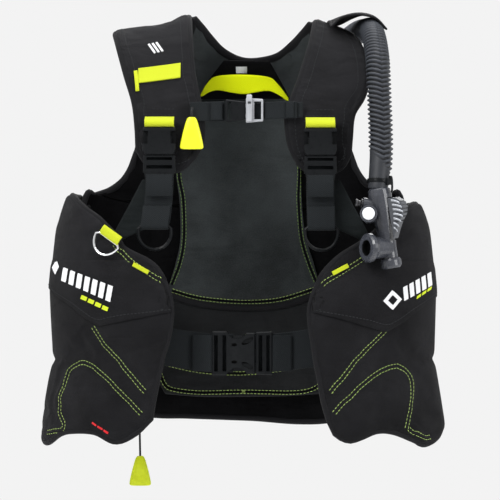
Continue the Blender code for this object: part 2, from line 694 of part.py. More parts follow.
def waist_socket(place):
    """The buckle's socket: hollow for the prongs, notched where the fingers squeeze, with curved windows."""
    high = WAIST_HALF_HEIGHT
    shape = [(-0.040, -high), (-0.0195, -high), (-0.017, -0.0265), (0.016, -0.0265), (0.016, 0.0265),
             (-0.017, 0.0265), (-0.0195, high), (-0.040, high)]
    socket = prism("waist_buckle_socket", shape, WAIST_BUCKLE_THICK, black_plastic(), place, 0.0012)
    for low, top in WAIST_SOCKET_SLOTS:
        cut_box(socket, (low, -0.02, -WAIST_SLOT_HALF), (top, 0.02, WAIST_SLOT_HALF), place)
    cut_box(socket, (-0.015, -0.0032, -WAIST_SLOT_HALF), (0.02, 0.0032, WAIST_SLOT_HALF), place)
    front = place @ Matrix.Translation((0, -0.0070, 0))
    for side in (-1, 1):
        x, z, half_width, half_height = WAIST_NOTCH
        notch = notch_outline(x, side * z, half_width, half_height)
        cut(socket, prism("cutter", notch, 0.040, black_plastic(), place))
        for x, z, half_width, half_height, tilt in WAIST_WINDOWS:
            window = notch_outline(x, side * z, half_width, half_height, side * tilt)
            cut(socket, prism("cutter", window, 0.010, black_plastic(), front))


CHEST_Z = 0.1525
CHEST_Y = -0.2435


def chest_strap():
    """The sternum strap between the pads, its buckle, and the whistle in the buckle's plug."""
    right = [(-0.020, CHEST_Y + 0.0052, CHEST_Z), (-0.040, CHEST_Y + 0.0052, CHEST_Z - 0.0003),
             (-0.062, CHEST_Y + 0.0022, CHEST_Z - 0.001)]
    ribbon("chest_webbing_right", right, (0, 0, 1), CHEST_WEB, WEB_THICK, black_webbing(), 8)
    left = [(0.010, CHEST_Y + 0.0052, CHEST_Z), (0.045, CHEST_Y + 0.0055, CHEST_Z + 0.001),
            (0.073, CHEST_Y + 0.0022, CHEST_Z + 0.0015)]
    ribbon("chest_webbing_left", left, (0, 0, 1), 0.020, WEB_THICK, black_webbing(), 8)
    place = Matrix.Translation((0, CHEST_Y, CHEST_Z))
    shape = [(-0.022, -0.0145), (0.0035, -0.0115), (0.0035, 0.0115), (-0.022, 0.0145)]
    socket = prism("chest_buckle_socket", shape, 0.008, black_plastic(), place, 0.0009)
    cut_box(socket, (-0.010, -0.0022, -0.0095), (0.01, 0.0022, 0.0095), place)
    cut_box(socket, (-0.0195, -0.02, -0.0115), (-0.0150, 0.02, 0.0115), place)
    plug = prism("chest_buckle_plug", [(0.0042, -0.0155), (0.0265, -0.0135), (0.0265, 0.0150),
                                       (0.0042, 0.0165)],
                 0.007, grey_plastic(), place, 0.0009)
    cut_box(plug, (0.0150, -0.02, -0.0112), (0.0238, 0.02, 0.0120), place)
    for z in (-0.0065, 0.0065):
        join_box(plug, (-0.0085, -0.0017, z - 0.0022), (0.0060, 0.0017, z + 0.0022), place)
    whistle = block("whistle", (0.0050, -0.0090, -0.0150), (0.0122, -0.0040, 0.0205), grey_plastic(), place,
                    0.0012)
    cut_box(whistle, (0.0064, -0.0076, 0.0060), (0.0108, -0.0055, 0.03), place)
    cut_box(whistle, (0.0064, -0.02, 0.0085), (0.0108, -0.0060, 0.0115), place)


def d_ring(name, centre, along, out, half, drop, rod, look):
    """A D shape: a straight bar along one way, and a bow that reaches out by drop."""
    along, out, centre = Vector(along).normalized(), Vector(out).normalized(), Vector(centre)
    flat = [(half * t, 0.0) for t in (-0.8, -0.4, 0.0, 0.4, 0.8)]
    flat += [(half * math.cos(a), drop * math.sin(a)) for a in np.radians(np.linspace(8, 172, 13))]
    return ring_rod(name, [tuple(centre + along * u + out * v) for u, v in flat], rod, look)


TAB_SEEN = (-0.1690, -0.0098)
POCKET_FACE = POCKET_OFFSET + 0.0120


def on_pocket(x, z):
    """A point just clear of a pocket's outer face, given as seen from the front."""
    return Vector(on_body(angle_at(x, z, POCKET_FACE), z, POCKET_FACE))


def pocket_hardware():
    """The steel ring on its bright tab, and the small bright loops on the pocket tops."""
    x, z = TAB_SEEN
    centre = on_pocket(x, z)
    along = (on_pocket(x + 0.012, z - 0.0085) - on_pocket(x - 0.012, z + 0.0085)).normalized()
    down = (on_pocket(x - 0.007, z - 0.010) - centre).normalized()
    spots = [tuple(centre - down * 0.0065), tuple(centre + down * 0.0005)]
    ribbon("pocket_ring_tab", spots, tuple(along), RING_TAB_WIDTH, WEB_THICK, yellow_webbing(), 3)
    d_ring("pocket_d_ring", centre + down * 0.0035, along, down, POCKET_RING_HALF, POCKET_RING_DROP,
           POCKET_RING_ROD, steel())
    for word, side, x, z in (("right", -1, -0.1290, -0.0545), ("left", 1, 0.1240, -0.0560)):
        start, end = on_pocket(x - 0.0095, z - side * 0.0055), on_pocket(x + 0.0095, z + side * 0.0055)
        ribbon(f"pocket_loop_{word}", [tuple(start), tuple(end)], (0, -0.1, 0.99), 0.0075, 0.0024,
               yellow_webbing(), 3)


def grab_handle():
    """The lifting handle behind the neck and the dark panel behind it."""
    y = -0.0815
    lean = 0.45
    block_top = [(x, y - lean * (z - 0.176), z) for x, z in ((-0.026, 0.230), (0.036, 0.229))]
    left = [block_top[0], (-0.050, y - 0.010, 0.200), (-0.060, y, 0.180)]
    right = [block_top[1], (0.053, y - 0.010, 0.200), (0.064, y, 0.180)]
    low = [left[-1], (0.002, y, 0.180), right[-1]]
    grid = patch(block_top, low, left, right, 8, 6)
    padded("handle_panel", grid, *HANDLE_PANEL_PADDING, pad_cloth())
    route = [(-0.057, -0.0900, 0.1840), (-0.044, -0.0985, 0.1935), (-0.022, -0.1040, 0.1975),
             (0.003, -0.1050, 0.1985),
             (0.028, -0.1040, 0.1970), (0.049, -0.0985, 0.1915), (0.061, -0.0900, 0.1810)]
    share = np.abs(np.linspace(-1, 1, 18))
    width = 0.0245 - 0.0135 * np.clip((share - 0.62) / 0.38, 0, 1) ** 1.4
    ribbon("grab_handle", route, (0, -0.16, 0.98), width[:, None], 0.0034, yellow_webbing(), 18)


# ---------------------------------------------------------------- backplate and cylinder band


PLATE_FRONT = -0.0168
PLATE_RIBS = ((-0.150, -0.125), (-0.055, 0.025), (0.095, 0.135))


def backplate():
    """A moulded plate behind the air cell; the cylinder rests on its flat rear face."""
    shape = [(-0.070, -0.150), (-0.050, -0.168), (0.050, -0.168), (0.070, -0.150), (0.078, 0.0),
             (0.066, 0.130), (0.050, 0.150), (-0.050, 0.150), (-0.066, 0.130), (-0.078, 0.0)]
    place = Matrix.Translation((0, -0.003, 0))
    plate = prism("backplate", shape, 0.006, black_plastic(), place, 0.0012)
    for low, high in PLATE_RIBS:
        join_box(plate, (-0.046, PLATE_FRONT, low), (0.046, -0.0040, high), Matrix.Identity(4))
    for z in (0.060, -0.090):
        for side in (-1, 1):
            low, high = sorted((side * 0.045, side * 0.066))
            cut_box(plate, (low, -0.02, z - 0.0275), (high, 0.02, z + 0.0275), Matrix.Identity(4))


BAND_Z = 0.060


def cylinder_band():
    """The webbing loop that goes behind the plate, out of its slots and round the cylinder."""
    half = [(0.0, -0.0092), (0.024, -0.0092), (0.044, -0.0088), (0.0545, -0.0035), (0.0640, 0.0075),
            (0.0790, 0.0330),
            (0.0915, 0.0640)]
    arc = [(BAND_RADIUS * math.cos(a), TANK_Y + BAND_RADIUS * math.sin(a))
           for a in np.radians(np.linspace(0, 180, 13))]
    loop = half + arc + [(-x, y) for x, y in half[:0:-1]] + [half[0]]
    route = [(x, y, BAND_Z) for x, y in loop]
    ribbon("cylinder_band", route, (0, 0, 1), CYLINDER_WEB, CYLINDER_WEB_THICK, black_webbing(), 57, True)


CAM_X = 0.1010
CAM_PIN = (0.1095, 0.1220)


def cam_buckle():
    """The over-centre buckle on the band: a frame with its pin, and a lever."""
    place = Matrix.Identity(4)
    low_z, high_z = BAND_Z - 0.031, BAND_Z + 0.031
    frame = block("cam_frame", (CAM_X, 0.066, low_z), (CAM_X + 0.0030, 0.132, high_z), black_plastic(),
                  place)
    for z in (low_z, high_z - 0.0040):
        join_box(frame, (CAM_X + 0.0005, 0.104, z), (CAM_X + 0.0135, 0.1315, z + 0.0040), place)
    x, y = CAM_PIN
    upright = Matrix.Translation((x, y, 0))
    pin = [(0, low_z + 0.0010), (0.0025, low_z + 0.0010), (0.0025, high_z - 0.0010), (0, high_z - 0.0010)]
    join(frame, lathe("helper", pin, steel(), upright, 12))
    inside = (low_z + 0.0044, high_z - 0.0044)
    knuckle = [(0.0028, inside[0]), (0.0048, inside[0]), (0.0048, inside[1]), (0.0028, inside[1])]
    lever = lathe("cam_lever", knuckle, black_plastic(), upright, 12, False)
    join_box(lever, (x + 0.0005, 0.070, inside[0]), (x + 0.0040, y - 0.0035, inside[1]), place)


# ---------------------------------------------------------------- hose and inflator

HOSE_UPPER = [(0.1240, -0.0130, 0.2110), (0.1240, -0.0120, 0.2230), (0.1290, -0.0160, 0.2430),
              (0.1430, -0.0360, 0.2620), (0.1575, -0.0700, 0.2715), (0.1670, -0.1080, 0.2710),
              (0.1710, -0.1480, 0.2670), (0.1730, -0.1850, 0.2530)]
HOSE_LOWER = [(0.1730, -0.1850, 0.2530), (0.1745, -0.2130, 0.2330), (0.1752, -0.2370, 0.2080),
              (0.1756, -0.2570, 0.1650), (0.1764, -0.2690, 0.1260), (0.1758, -0.2770, 0.0940),
              (0.1726, -0.2832, 0.0572)]
HOSE_END_CUT = 2  # points left off each tube, so that both ends turn freely about the bend


def hose():
    """The corrugated hose as two plain tubes on either side of the bend it turns about when lifted."""
    upper = curve_through(HOSE_UPPER, 61)
    tube("hose_upper", upper[:-HOSE_END_CUT], HOSE_DIAMETER, hose_rubber(), 12, 3)
    lower = curve_through(HOSE_LOWER, 61)
    tube("hose_lower", lower[HOSE_END_CUT:], HOSE_DIAMETER, hose_rubber(), 14, 3)


def hose_elbow():
    """The swivel elbow on the back of the left shoulder, which joins the hose to the air cell."""
    base = facing((0.118, -0.0345, 0.1780), (0.28, 0.96, 0))
    body = lathe("hose_elbow", [(0, -0.0010), (0.0230, -0.0010), (0.0230, 0.0030), (0.0140, 0.0050),
                                (0.0150, 0.0150),
                                (0.0120, 0.0250), (0, 0.0270)], black_plastic(), base, 20)
    riser = [(0, 0.0), (0.0140, 0.0), (0.0140, 0.0290), (0, 0.0290)]
    join(body, lathe("helper", riser, black_plastic(), facing((0.124, -0.0135, 0.1782), (0.0, 0.04, 1)),
                     18))


INFLATOR_TOP = Vector((0.1722, -0.2838, 0.0560))
INFLATOR_DOWN = Vector((0.165, 0.0, -0.986)).normalized()
BUTTON_CENTRE = (0.1590, -0.3035, 0.0190)
MOUTH_DIRECTION = (-0.86, -0.51, 0.0)


# Profiles of turned pieces, as (radius, distance along the axis)
INFLATOR_PROFILE = [(0, 0.0036), (0.0115, 0.0036), (0.0140, 0.0065), (0.0150, 0.0140), (0.0146, 0.0300),
                    (0.0120, 0.0560), (0.0102, 0.0800), (0.0100, 0.0945), (0, 0.0945)]
BUTTON_BOSS = [(0, -0.0210), (0.0115, -0.0210), (0.0110, 0.0), (0, 0.0)]
BUTTON_WELL = [(0, -0.0120), (0.0086, -0.0120), (0.0086, 0.0100), (0, 0.0100)]
BUTTON_PROFILE = [(0, -0.0085), (0.0040, -0.0085), (0.0040, -0.0025), (0.0080, -0.0020), (0.0080, 0.0012),
                  (0.0066, 0.0024), (0, 0.0026)]
BUTTON_DIRECTION = (-0.12, -0.98, 0.05)
INLET_CENTRE = (0.1620, -0.2860, 0.0300)
INLET_DIRECTION = (-1.0, -0.10, 0.16)
INLET_BOSS = [(0, -0.0040), (0.0080, -0.0040), (0.0080, 0.0095), (0, 0.0095)]
INLET_PROFILE = [(0, 0.0099), (0.0058, 0.0099), (0.0058, 0.0120), (0.0038, 0.0130), (0.0038, 0.0155),
                 (0.0048, 0.0165), (0.0048, 0.0190), (0, 0.0190)]
MOUTH_ALONG = 0.0815  # how far down the inflator the mouthpiece leaves it
MOUTH_NECK = [(0, 0.0), (0.0118, 0.0), (0.0145, 0.0240), (0, 0.0240)]
MOUTH_BORE = [(0, 0.0110), (0.0100, 0.0110), (0.0100, 0.0300), (0, 0.0300)]
MOUTH_PROFILE = [(0.0104, 0.0244), (0.0160, 0.0244), (0.0185, 0.0285), (0.0185, 0.0325), (0.0160, 0.0345),
                 (0.0104, 0.0345)]
CAP_PROFILE = [(0, 0.0949), (0.0120, 0.0949), (0.0132, 0.0975), (0.0132, 0.1045), (0.0110, 0.1075),
               (0, 0.1075)]
CLAMP_PROFILE = [(0.0168, 0.0050), (0.0184, 0.0050), (0.0184, 0.0095), (0.0168, 0.0095)]
SLOT_LOW = (-0.0068, -0.0078, 0.0180)
SLOT_HIGH = (0.0200, 0.0078, 0.0730)


def inflator():
    """The power inflator: body, buttons, mouthpiece, cap, and the hose's clamp."""
    body_frame = facing(INFLATOR_TOP, INFLATOR_DOWN)
    button_frame = facing(BUTTON_CENTRE, BUTTON_DIRECTION)
    inlet_frame = facing(INLET_CENTRE, INLET_DIRECTION)
    mouth_frame = facing(INFLATOR_TOP + INFLATOR_DOWN * MOUTH_ALONG, MOUTH_DIRECTION)
    slot = place_slot(body_frame)
    inflator_shell(body_frame, button_frame, inlet_frame, mouth_frame, slot)
    lathe("inflate_button", BUTTON_PROFILE, grey_plastic(), button_frame, 20)
    lathe("inflator_inlet", INLET_PROFILE, steel(), inlet_frame, 16)
    lathe("mouthpiece", MOUTH_PROFILE, black_plastic(), mouth_frame, 22)
    lathe("inflator_cap", CAP_PROFILE, black_plastic(), body_frame, 22)
    deflate_button(slot)
    hose_end, before = Vector(HOSE_LOWER[-1]), Vector(HOSE_LOWER[-2])
    lathe("hose_clamp", CLAMP_PROFILE, black_plastic(), facing(hose_end, before - hose_end), 20)


def inflator_shell(body_frame, button_frame, inlet_frame, mouth_frame, slot):
    """The hollow body with its button boss, inlet boss, mouthpiece neck and the slot for the deflate key."""
    look = black_plastic()
    body = lathe("inflator_body", INFLATOR_PROFILE, look, body_frame, 22)
    join(body, lathe("helper", BUTTON_BOSS, look, button_frame, 20))
    cut(body, lathe("cutter", BUTTON_WELL, look, button_frame, 20))
    join(body, lathe("helper", INLET_BOSS, look, inlet_frame, 16))
    join(body, lathe("helper", MOUTH_NECK, look, mouth_frame, 20))
    cut(body, lathe("cutter", MOUTH_BORE, look, mouth_frame, 16))
    cut_box(body, SLOT_LOW, SLOT_HIGH, slot)


def place_slot(body_frame):
    """A frame on the body's outer side, its local X pointing away from the body."""
    middle = body_frame @ Vector((0, 0, 0))
    down = (body_frame.to_3x3() @ Vector((0, 0, 1))).normalized()
    out = (Vector((0.86, -0.48, 0)) - down * Vector((0.86, -0.48, 0)).dot(down)).normalized()
    across = down.cross(out)
    turn = Matrix((out, across, down)).transposed()
    return Matrix.Translation(middle + out * 0.0140) @ turn.to_4x4()


DEFLATE_RIB_DEPTHS = (0.0150, 0.0170, 0.0160, 0.0125, 0.0085, 0.0050)


def deflate_button(slot):
    """The ribbed teardrop key that vents the cell; it travels into its slot."""
    shape = [(-0.0020, 0.0190), (0.0095, 0.0198), (0.0170, 0.0255), (0.0190, 0.0335), (0.0165, 0.0420),
             (0.0100, 0.0500), (0.0045, 0.0590), (-0.0005, 0.0690), (-0.0020, 0.0715)]
    button = prism("deflate_button", shape, 0.0145, silver_plastic(), slot, 0.0010)
    for k in range(6):
        z = 0.0250 + 0.0048 * k
        cut_box(button, (DEFLATE_RIB_DEPTHS[k], -0.02, z), (0.03, 0.02, z + 0.0013), slot)


# ---------------------------------------------------------------- dump valves and their pulls


def pull_toggle(name, top, look):
    """A pear-shaped pull, flat front to back, hanging from its cord."""
    half = [(0.0050, 0.0), (0.0085, -0.0065), (0.0122, -0.0220), (0.0138, -0.0330), (0.0125, -0.0390),
            (0.0080, -0.0410)]
    shape = half + [(-x, z) for x, z in half[::-1]]
    place = Matrix.Translation(top)
    pull = prism(name, shape, 0.0090, look, place, 0.0022)
    return pull


SHOULDER_PULL_TOP = (-0.0655, -0.2500, 0.1440)
REAR_VALVE = (-0.141, -0.0270, -0.188)
REAR_PULL_TOP = (-0.1440, -0.0200, -0.3150)


def shoulder_dump():
    """The dump valve behind the right shoulder, and the pull that hangs on the chest."""
    base = facing((-0.105, -0.0330, 0.1800), (-0.28, 0.96, 0))
    lathe("shoulder_valve", [(0, -0.0005), (0.0230, -0.0005), (0.0230, 0.0035), (0.0190, 0.0060),
                             (0.0190, 0.0110),
                             (0.0160, 0.0140), (0, 0.0150)], black_plastic(), base, 20)
    x, y, z = SHOULDER_PULL_TOP
    pull_toggle("shoulder_pull", SHOULDER_PULL_TOP, yellow_plastic())
    tube("shoulder_pull_cord", [(x, y, z + 0.0004), (x, y + 0.0006, z + 0.006),
                                (x + 0.0005, y + 0.0040, z + 0.0125)],
         CORD_DIAMETER, black_webbing(), 4, 2)


def rear_dump():
    """The lower dump valve: seat, cover, sprung poppet behind it, and its cord and pull."""
    base = facing(REAR_VALVE, (-0.25, 0.97, 0))
    lathe("rear_valve_poppet", [(0, 0.0010), (0.0060, 0.0010), (0.0060, 0.0064), (0.0150, 0.0066),
                                (0.0150, 0.0084),
                                (0, 0.0084)], black_plastic(), base, 20)
    housing = [(0.0080, 0.0), (0.0240, 0.0), (0.0240, 0.0035), (0.0215, 0.0050), (0.0215, 0.0150),
               (0.0180, 0.0180), (0.0060, 0.0185), (0.0060, 0.0160), (0.0170, 0.0155), (0.0185, 0.0140),
               (0.0185, 0.0055), (0.0080, 0.0055)]
    lathe("rear_valve_housing", housing, black_plastic(), base, 20)
    x, y, z = REAR_PULL_TOP
    start = Vector(REAR_VALVE) + Vector((0.0, 0.0070, -0.0270))
    route = [tuple(start), (x - 0.002, y + 0.0010, -0.235), (x - 0.001, y + 0.0005, -0.270),
             (x, y, z + 0.0004)]
    tube("rear_pull_cord", route, CORD_DIAMETER, black_webbing(), 14, 2)
    pull_toggle("rear_pull", REAR_PULL_TOP, yellow_plastic())


def build():
    lobes_and_pockets()
    back_cell()
    yoke()
    back_pads()
    shoulder_pads()
    strap_wings()
    hose_cover()
    shoulder_loop()
    shoulder_buckles()
    shoulder_webbing()
    waist_belt()
    waist_buckle()
    chest_strap()
    pocket_hardware()
    grab_handle()
    backplate()
    cylinder_band()
    cam_buckle()
    hose()
    hose_elbow()
    inflator()
    shoulder_dump()
    rear_dump()


build()
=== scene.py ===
"""Looks of the buoyancy compensator vest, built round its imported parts.

Metres, +Z up; the wearer faces -Y and the wearer's left is +X. Right and left are the wearer's own.
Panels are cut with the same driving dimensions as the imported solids, only finer.
"""

import json
import math

import bpy
import numpy as np
from mathutils import Matrix, Vector, noise
from mathutils.bvhtree import BVHTree


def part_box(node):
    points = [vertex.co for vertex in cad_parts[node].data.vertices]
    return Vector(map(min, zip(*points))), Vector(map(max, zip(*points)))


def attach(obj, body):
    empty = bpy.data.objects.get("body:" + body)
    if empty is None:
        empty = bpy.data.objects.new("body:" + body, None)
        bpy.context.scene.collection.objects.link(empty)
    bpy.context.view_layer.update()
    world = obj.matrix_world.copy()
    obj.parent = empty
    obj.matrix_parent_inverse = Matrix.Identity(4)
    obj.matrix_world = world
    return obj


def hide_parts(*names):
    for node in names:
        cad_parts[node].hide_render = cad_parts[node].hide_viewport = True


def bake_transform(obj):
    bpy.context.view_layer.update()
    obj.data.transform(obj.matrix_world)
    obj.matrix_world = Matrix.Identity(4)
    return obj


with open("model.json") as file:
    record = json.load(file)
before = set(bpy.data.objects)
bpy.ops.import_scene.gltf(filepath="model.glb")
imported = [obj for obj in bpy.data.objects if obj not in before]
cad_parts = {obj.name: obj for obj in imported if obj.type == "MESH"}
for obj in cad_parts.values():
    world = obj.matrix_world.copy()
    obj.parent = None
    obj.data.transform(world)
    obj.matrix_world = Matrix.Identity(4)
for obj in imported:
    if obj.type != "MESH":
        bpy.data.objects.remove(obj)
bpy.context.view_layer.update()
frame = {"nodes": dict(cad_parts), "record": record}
NODES = frame["nodes"]
ROOT = "vest"
scene = bpy.context.scene


def mm(text):
    """Points in metres, from their millimetres: values part by spaces, and points by commas."""
    return [tuple(float(value + "e-3") for value in spot.split()) for spot in text.split(",")]


# ---------------------------------------------------------------- the vest's driving dimensions

BODY_CENTRE_Y = -0.149
BODY_DEPTH = 0.121
BODY_POWER = 2 / 2.4
GIRTH_HEIGHTS = (-0.29, -0.24, -0.17, -0.08, 0.0, 0.05, 0.16)
GIRTH_HALF_WIDTHS = (0.247, 0.236, 0.224, 0.226, 0.218, 0.204, 0.196)
POCKET_OFFSET = 0.021
POCKET_FACE = POCKET_OFFSET + 0.012
BELT_OFFSET = -0.04
BUCKLES = {"right": (-0.107, -0.2515, 0.0), "left": (0.1, -0.2515, -0.001)}
WAIST_Y, WAIST_Z = -0.226, -0.161
CHEST_Y, CHEST_Z = -0.2435, 0.1525
BAND_Z = 0.06
TANK_Y = 0.092
BAND_RADIUS = 0.0962
HOSE_DIAMETER = 0.0325
CORD_DIAMETER = 0.003
STRAIGHT_BACK, UP = (0, 1, 0), (0, 0, 1)
DASH, DASH_GAP, THREAD_THICK = 0.0034, 0.0014, 0.0008  # a stitch's length, gap and thickness

RIGHT_TOP = mm("-222 44, -193 20, -174 4, -161 -10, -153 -23, -138 -32, -123 -39, -110 -49, -100 -65")
RIGHT_INNER = mm("-100 -65, -92 -84, -89 -110, -94 -142, -101 -165, -111 -212, -116 -242")
RIGHT_HEM = mm("-275 -270, -257 -281, -237 -267, -219 -262, -190 -262, -163 -273, -138 -263, -116 -242")
LEFT_TOP = mm("222 33, 198 18, 176 2, 160 -12, 146 -21, 125 -34, 108 -50, 98 -64")
LEFT_INNER = mm("98 -64, 88 -86, 84 -110, 89 -145, 96 -185, 102 -218, 110 -245")
LEFT_HEM = mm("264 -262, 240 -280, 222 -274, 194 -262, 172 -260, 150 -268, 135 -271, 118 -262, 110 -245")
LOBE_REAR = (96, 103, 111)
POCKET_REAR = (104, 113, 121)
ARMHOLE = mm("128 150, 146 111, 155 85, 166 67, 181 54, 195 47")

HOSE_ROUTE = mm(
    "124 -13 211, 124 -12 223, 129 -16 243, 143 -36 262, 157.5 -70 271.5, 167 -108 271, 171 -148 267, "
    "173 -185 253, 174.5 -213 233, 175.2 -237 208, 175.6 -257 165, 176.4 -269 126, 175.8 -277 94, "
    "172.6 -283.2 57.2, 172.2 -283.8 51.2")
HOSE_BEND = Vector((0.173, -0.185, 0.253))
REAR_PULL_ROUTE = mm("-141 -20 -215, -146 -19 -235, -145 -19.5 -270, -144 -20 -314.6")


# ---------------------------------------------------------------- materials


def tone(r, g, b):
    """Linear colour of 0-255 screen values."""
    return tuple(((c / 255 + 0.055) / 1.055) ** 2.4 if c > 10 else c / 255 / 12.92 for c in (r, g, b))


def surface(name, colour, rough, specular=0.3, metallic=0.0, sheen=0.0):
    """A Principled material: (material, its node tree, its shader)."""
    made = bpy.data.materials.new("look_" + name)
    made.use_nodes = True
    tree = made.node_tree
    shader = tree.nodes["Principled BSDF"]
    shader.inputs["Base Color"].default_value = (*colour, 1)
    shader.inputs["Roughness"].default_value = rough
    shader.inputs["Specular IOR Level"].default_value = specular
    shader.inputs["Metallic"].default_value = metallic
    if sheen:
        shader.inputs["Sheen Weight"].default_value = sheen
        shader.inputs["Sheen Roughness"].default_value = 0.45
    return made, tree, shader


def node(tree, kind, **settings):
    """A shader node, with its settings and its inputs' plain values."""
    made = tree.nodes.new("ShaderNode" + kind)
    for key, value in settings.items():
        if key in made.inputs.keys():
            made.inputs[key].default_value = value
        else:
            setattr(made, key, value)
    return made


def ramp(tree, source, low, high, start=0.3, end=0.7):
    """Maps a value to a colour between two."""
    made = node(tree, "ValToRGB")
    made.color_ramp.elements[0].position = start
    made.color_ramp.elements[0].color = (*low, 1)
    made.color_ramp.elements[1].position = end
    made.color_ramp.elements[1].color = (*high, 1)
    tree.links.new(source, made.inputs["Fac"])
    return made.outputs["Color"]


def maths(tree, operation, a, b):
    """The result of one sum; b is a socket or a number."""
    made = node(tree, "Math", operation=operation)
    tree.links.new(a, made.inputs[0])
    if isinstance(b, float):
        made.inputs[1].default_value = b
    else:
        tree.links.new(b, made.inputs[1])
    return made.outputs[0]


def add(tree, a, b):
    """The sum of two shader values."""
    return maths(tree, "ADD", a, b)


def times(tree, a, b):
    """The product of two shader values."""
    return maths(tree, "MULTIPLY", a, b)


def mix(tree, a, share, b):
    """A share of a and the rest of b."""
    return add(tree, times(tree, a, share), times(tree, b, round(1 - share, 6)))


def object_place(tree):
    """A shader's place in the piece's own space."""
    return node(tree, "TexCoord").outputs["Object"]


def cloth_place(tree):
    """A shader's place in the cloth's space."""
    return node(tree, "UVMap").outputs["UV"]


def split(tree, source):
    """The three parts of a vector."""
    parts = node(tree, "SeparateXYZ")
    tree.links.new(source, parts.inputs[0])
    return parts.outputs


def bands(tree, where, direction, pitch, distortion=0.0):
    """Ridges of a pitch in metres along one direction of the coordinates."""
    scale = 2 * math.pi / (20 * pitch)
    made = node(tree, "TexWave", bands_direction=direction, Scale=scale, Distortion=distortion)
    tree.links.new(where, made.inputs["Vector"])
    return made.outputs["Fac"]


def speckle(tree, where, size, detail=3.0, rough=0.6):
    """Noise whose grains are about size metres across."""
    made = node(tree, "TexNoise", Scale=1 / size, Detail=detail, Roughness=rough)
    tree.links.new(where, made.inputs["Vector"])
    return made.outputs["Fac"]


def creases(tree, where):
    """Sparse soft creases of handled cloth, running mostly level."""
    squash = node(tree, "Mapping", Scale=(9.0, 9.0, 26.0), Rotation=(0.0, 0.35, 0.0))
    tree.links.new(where, squash.inputs["Vector"])
    made = node(tree, "TexNoise", Scale=1.0, Detail=2.5, Distortion=0.6)
    tree.links.new(squash.outputs["Vector"], made.inputs["Vector"])
    return made.outputs["Fac"]


def set_bump(tree, shader, height, distance, strength=1.0):
    """Relief of a depth in metres on a shader."""
    made = node(tree, "Bump", Distance=distance, Strength=strength)
    tree.links.new(height, made.inputs["Height"])
    tree.links.new(made.outputs["Normal"], shader.inputs["Normal"])


def paint(tree, shader, value, low, high, start=0.3, end=0.7):
    """Colours a shader from low to high as a value rises."""
    tree.links.new(ramp(tree, value, low, high, start, end), shader.inputs["Base Color"])


def darker_and_paler(colour, vary):
    """A colour's dark and pale ends."""
    return [tuple(c * share for c in colour) for share in (1 - vary, 1 + vary)]


def cloth_look(name, colour, pitch, relief, rough=0.8, specular=0.05, sheen=0.03, vary=0.35, painted_top_light=0.0):
    """Plain-woven coated cloth: a fine warp and weft, soft mottling and lint, and painted light from above
    that makes it paler upwards by the last argument.
    """
    made, tree, shader = surface(name, tone(*colour), rough, specular, 0.0, sheen)
    flat, solid = cloth_place(tree), object_place(tree)
    weave = times(tree, bands(tree, flat, "X", pitch, 0.6), bands(tree, flat, "Y", pitch, 0.6))
    mottle = speckle(tree, solid, 0.075, 6.0)
    mixed = mix(tree, mottle, 0.65, speckle(tree, flat, 0.0016, 2.0))
    # painted light from above: the colour grows paler with height
    if painted_top_light:
        mixed = add(tree, mixed, times(tree, split(tree, solid)[2], painted_top_light))
    paint(tree, shader, mixed, *darker_and_paler(tone(*colour), vary), 0.35, 0.65)
    height = add(tree, weave, times(tree, speckle(tree, solid, 0.02), 4.0))
    height = add(tree, height, times(tree, creases(tree, solid), 18.0))
    set_bump(tree, shader, height, relief)
    uneven = add(tree, times(tree, mottle, 0.25), rough - 0.12)
    tree.links.new(uneven, shader.inputs["Roughness"])
    return made


def webbing_look(name, colour, pitch=0.0024, rough=0.7, specular=0.08, sheen=0.03, vary=0.35):
    """Ribbed webbing: a twill that runs to a point along its middle, with rolled selvedges."""
    made, tree, shader = surface(name, tone(*colour), rough, specular, 0.0, sheen)
    flat = cloth_place(tree)
    across, along, _ = split(tree, flat)
    skewed = node(tree, "CombineXYZ")
    tree.links.new(across, skewed.inputs[0])
    tree.links.new(add(tree, along, maths(tree, "PINGPONG", across, 0.0045)), skewed.inputs[1])
    both = mix(tree, bands(tree, skewed.outputs[0], "Y", pitch), 0.5, speckle(tree, flat, 0.002))
    paint(tree, shader, both, *darker_and_paler(tone(*colour), vary))
    set_bump(tree, shader, both, 0.0005)
    return made


def plastic_look(name, colour, rough=0.4, specular=0.5, metallic=0.0):
    """Moulded plastic or metal: a fine spark-eroded grain, paler sharp edges that are partly rubbing wear and
    partly painted highlight, painted shade in hollows, and uneven gloss.
    """
    made, tree, shader = surface(name, tone(*colour), rough, specular, metallic)
    solid = object_place(tree)
    edge_rub_and_hollow_shade = node(tree, "NewGeometry").outputs["Pointiness"]
    scuff = speckle(tree, solid, 0.006, 6.0, 0.7)
    low = tuple(c * 0.85 for c in tone(*colour))
    high = tuple(min(1.0, c * 1.5 + 0.006) for c in tone(*colour))
    # paler at sharp edges (rubbing wear and painted highlight), darker in hollows (painted shade)
    paint(tree, shader, mix(tree, edge_rub_and_hollow_shade, 0.86, scuff), low, high, 0.44, 0.62)
    gloss = add(tree, times(tree, scuff, 0.3), rough - 0.15)
    tree.links.new(gloss, shader.inputs["Roughness"])
    set_bump(tree, shader, speckle(tree, solid, 0.001, 2.0), 0.00012, 0.6)
    return made


def hose_look():
    """Matt moulded rubber with painted shade in its grooves and painted light on its ribs; the first
    coordinate is 0 in a groove and 1 on a rib.
    """
    made, tree, shader = surface("hose_rubber", tone(36, 38, 42), 0.5)
    rib, solid = split(tree, cloth_place(tree))[0], object_place(tree)
    both = add(tree, rib, times(tree, speckle(tree, solid, 0.012, 5.0, 0.7), 0.25))
    # painted shade: near black in the grooves, paler towards the ribs' crests
    paint(tree, shader, both, tone(4, 4, 5), tone(56, 59, 65), 0.36, 1.05)
    set_bump(tree, shader, speckle(tree, solid, 0.0012, 2.0), 0.0001, 0.5)
    return made


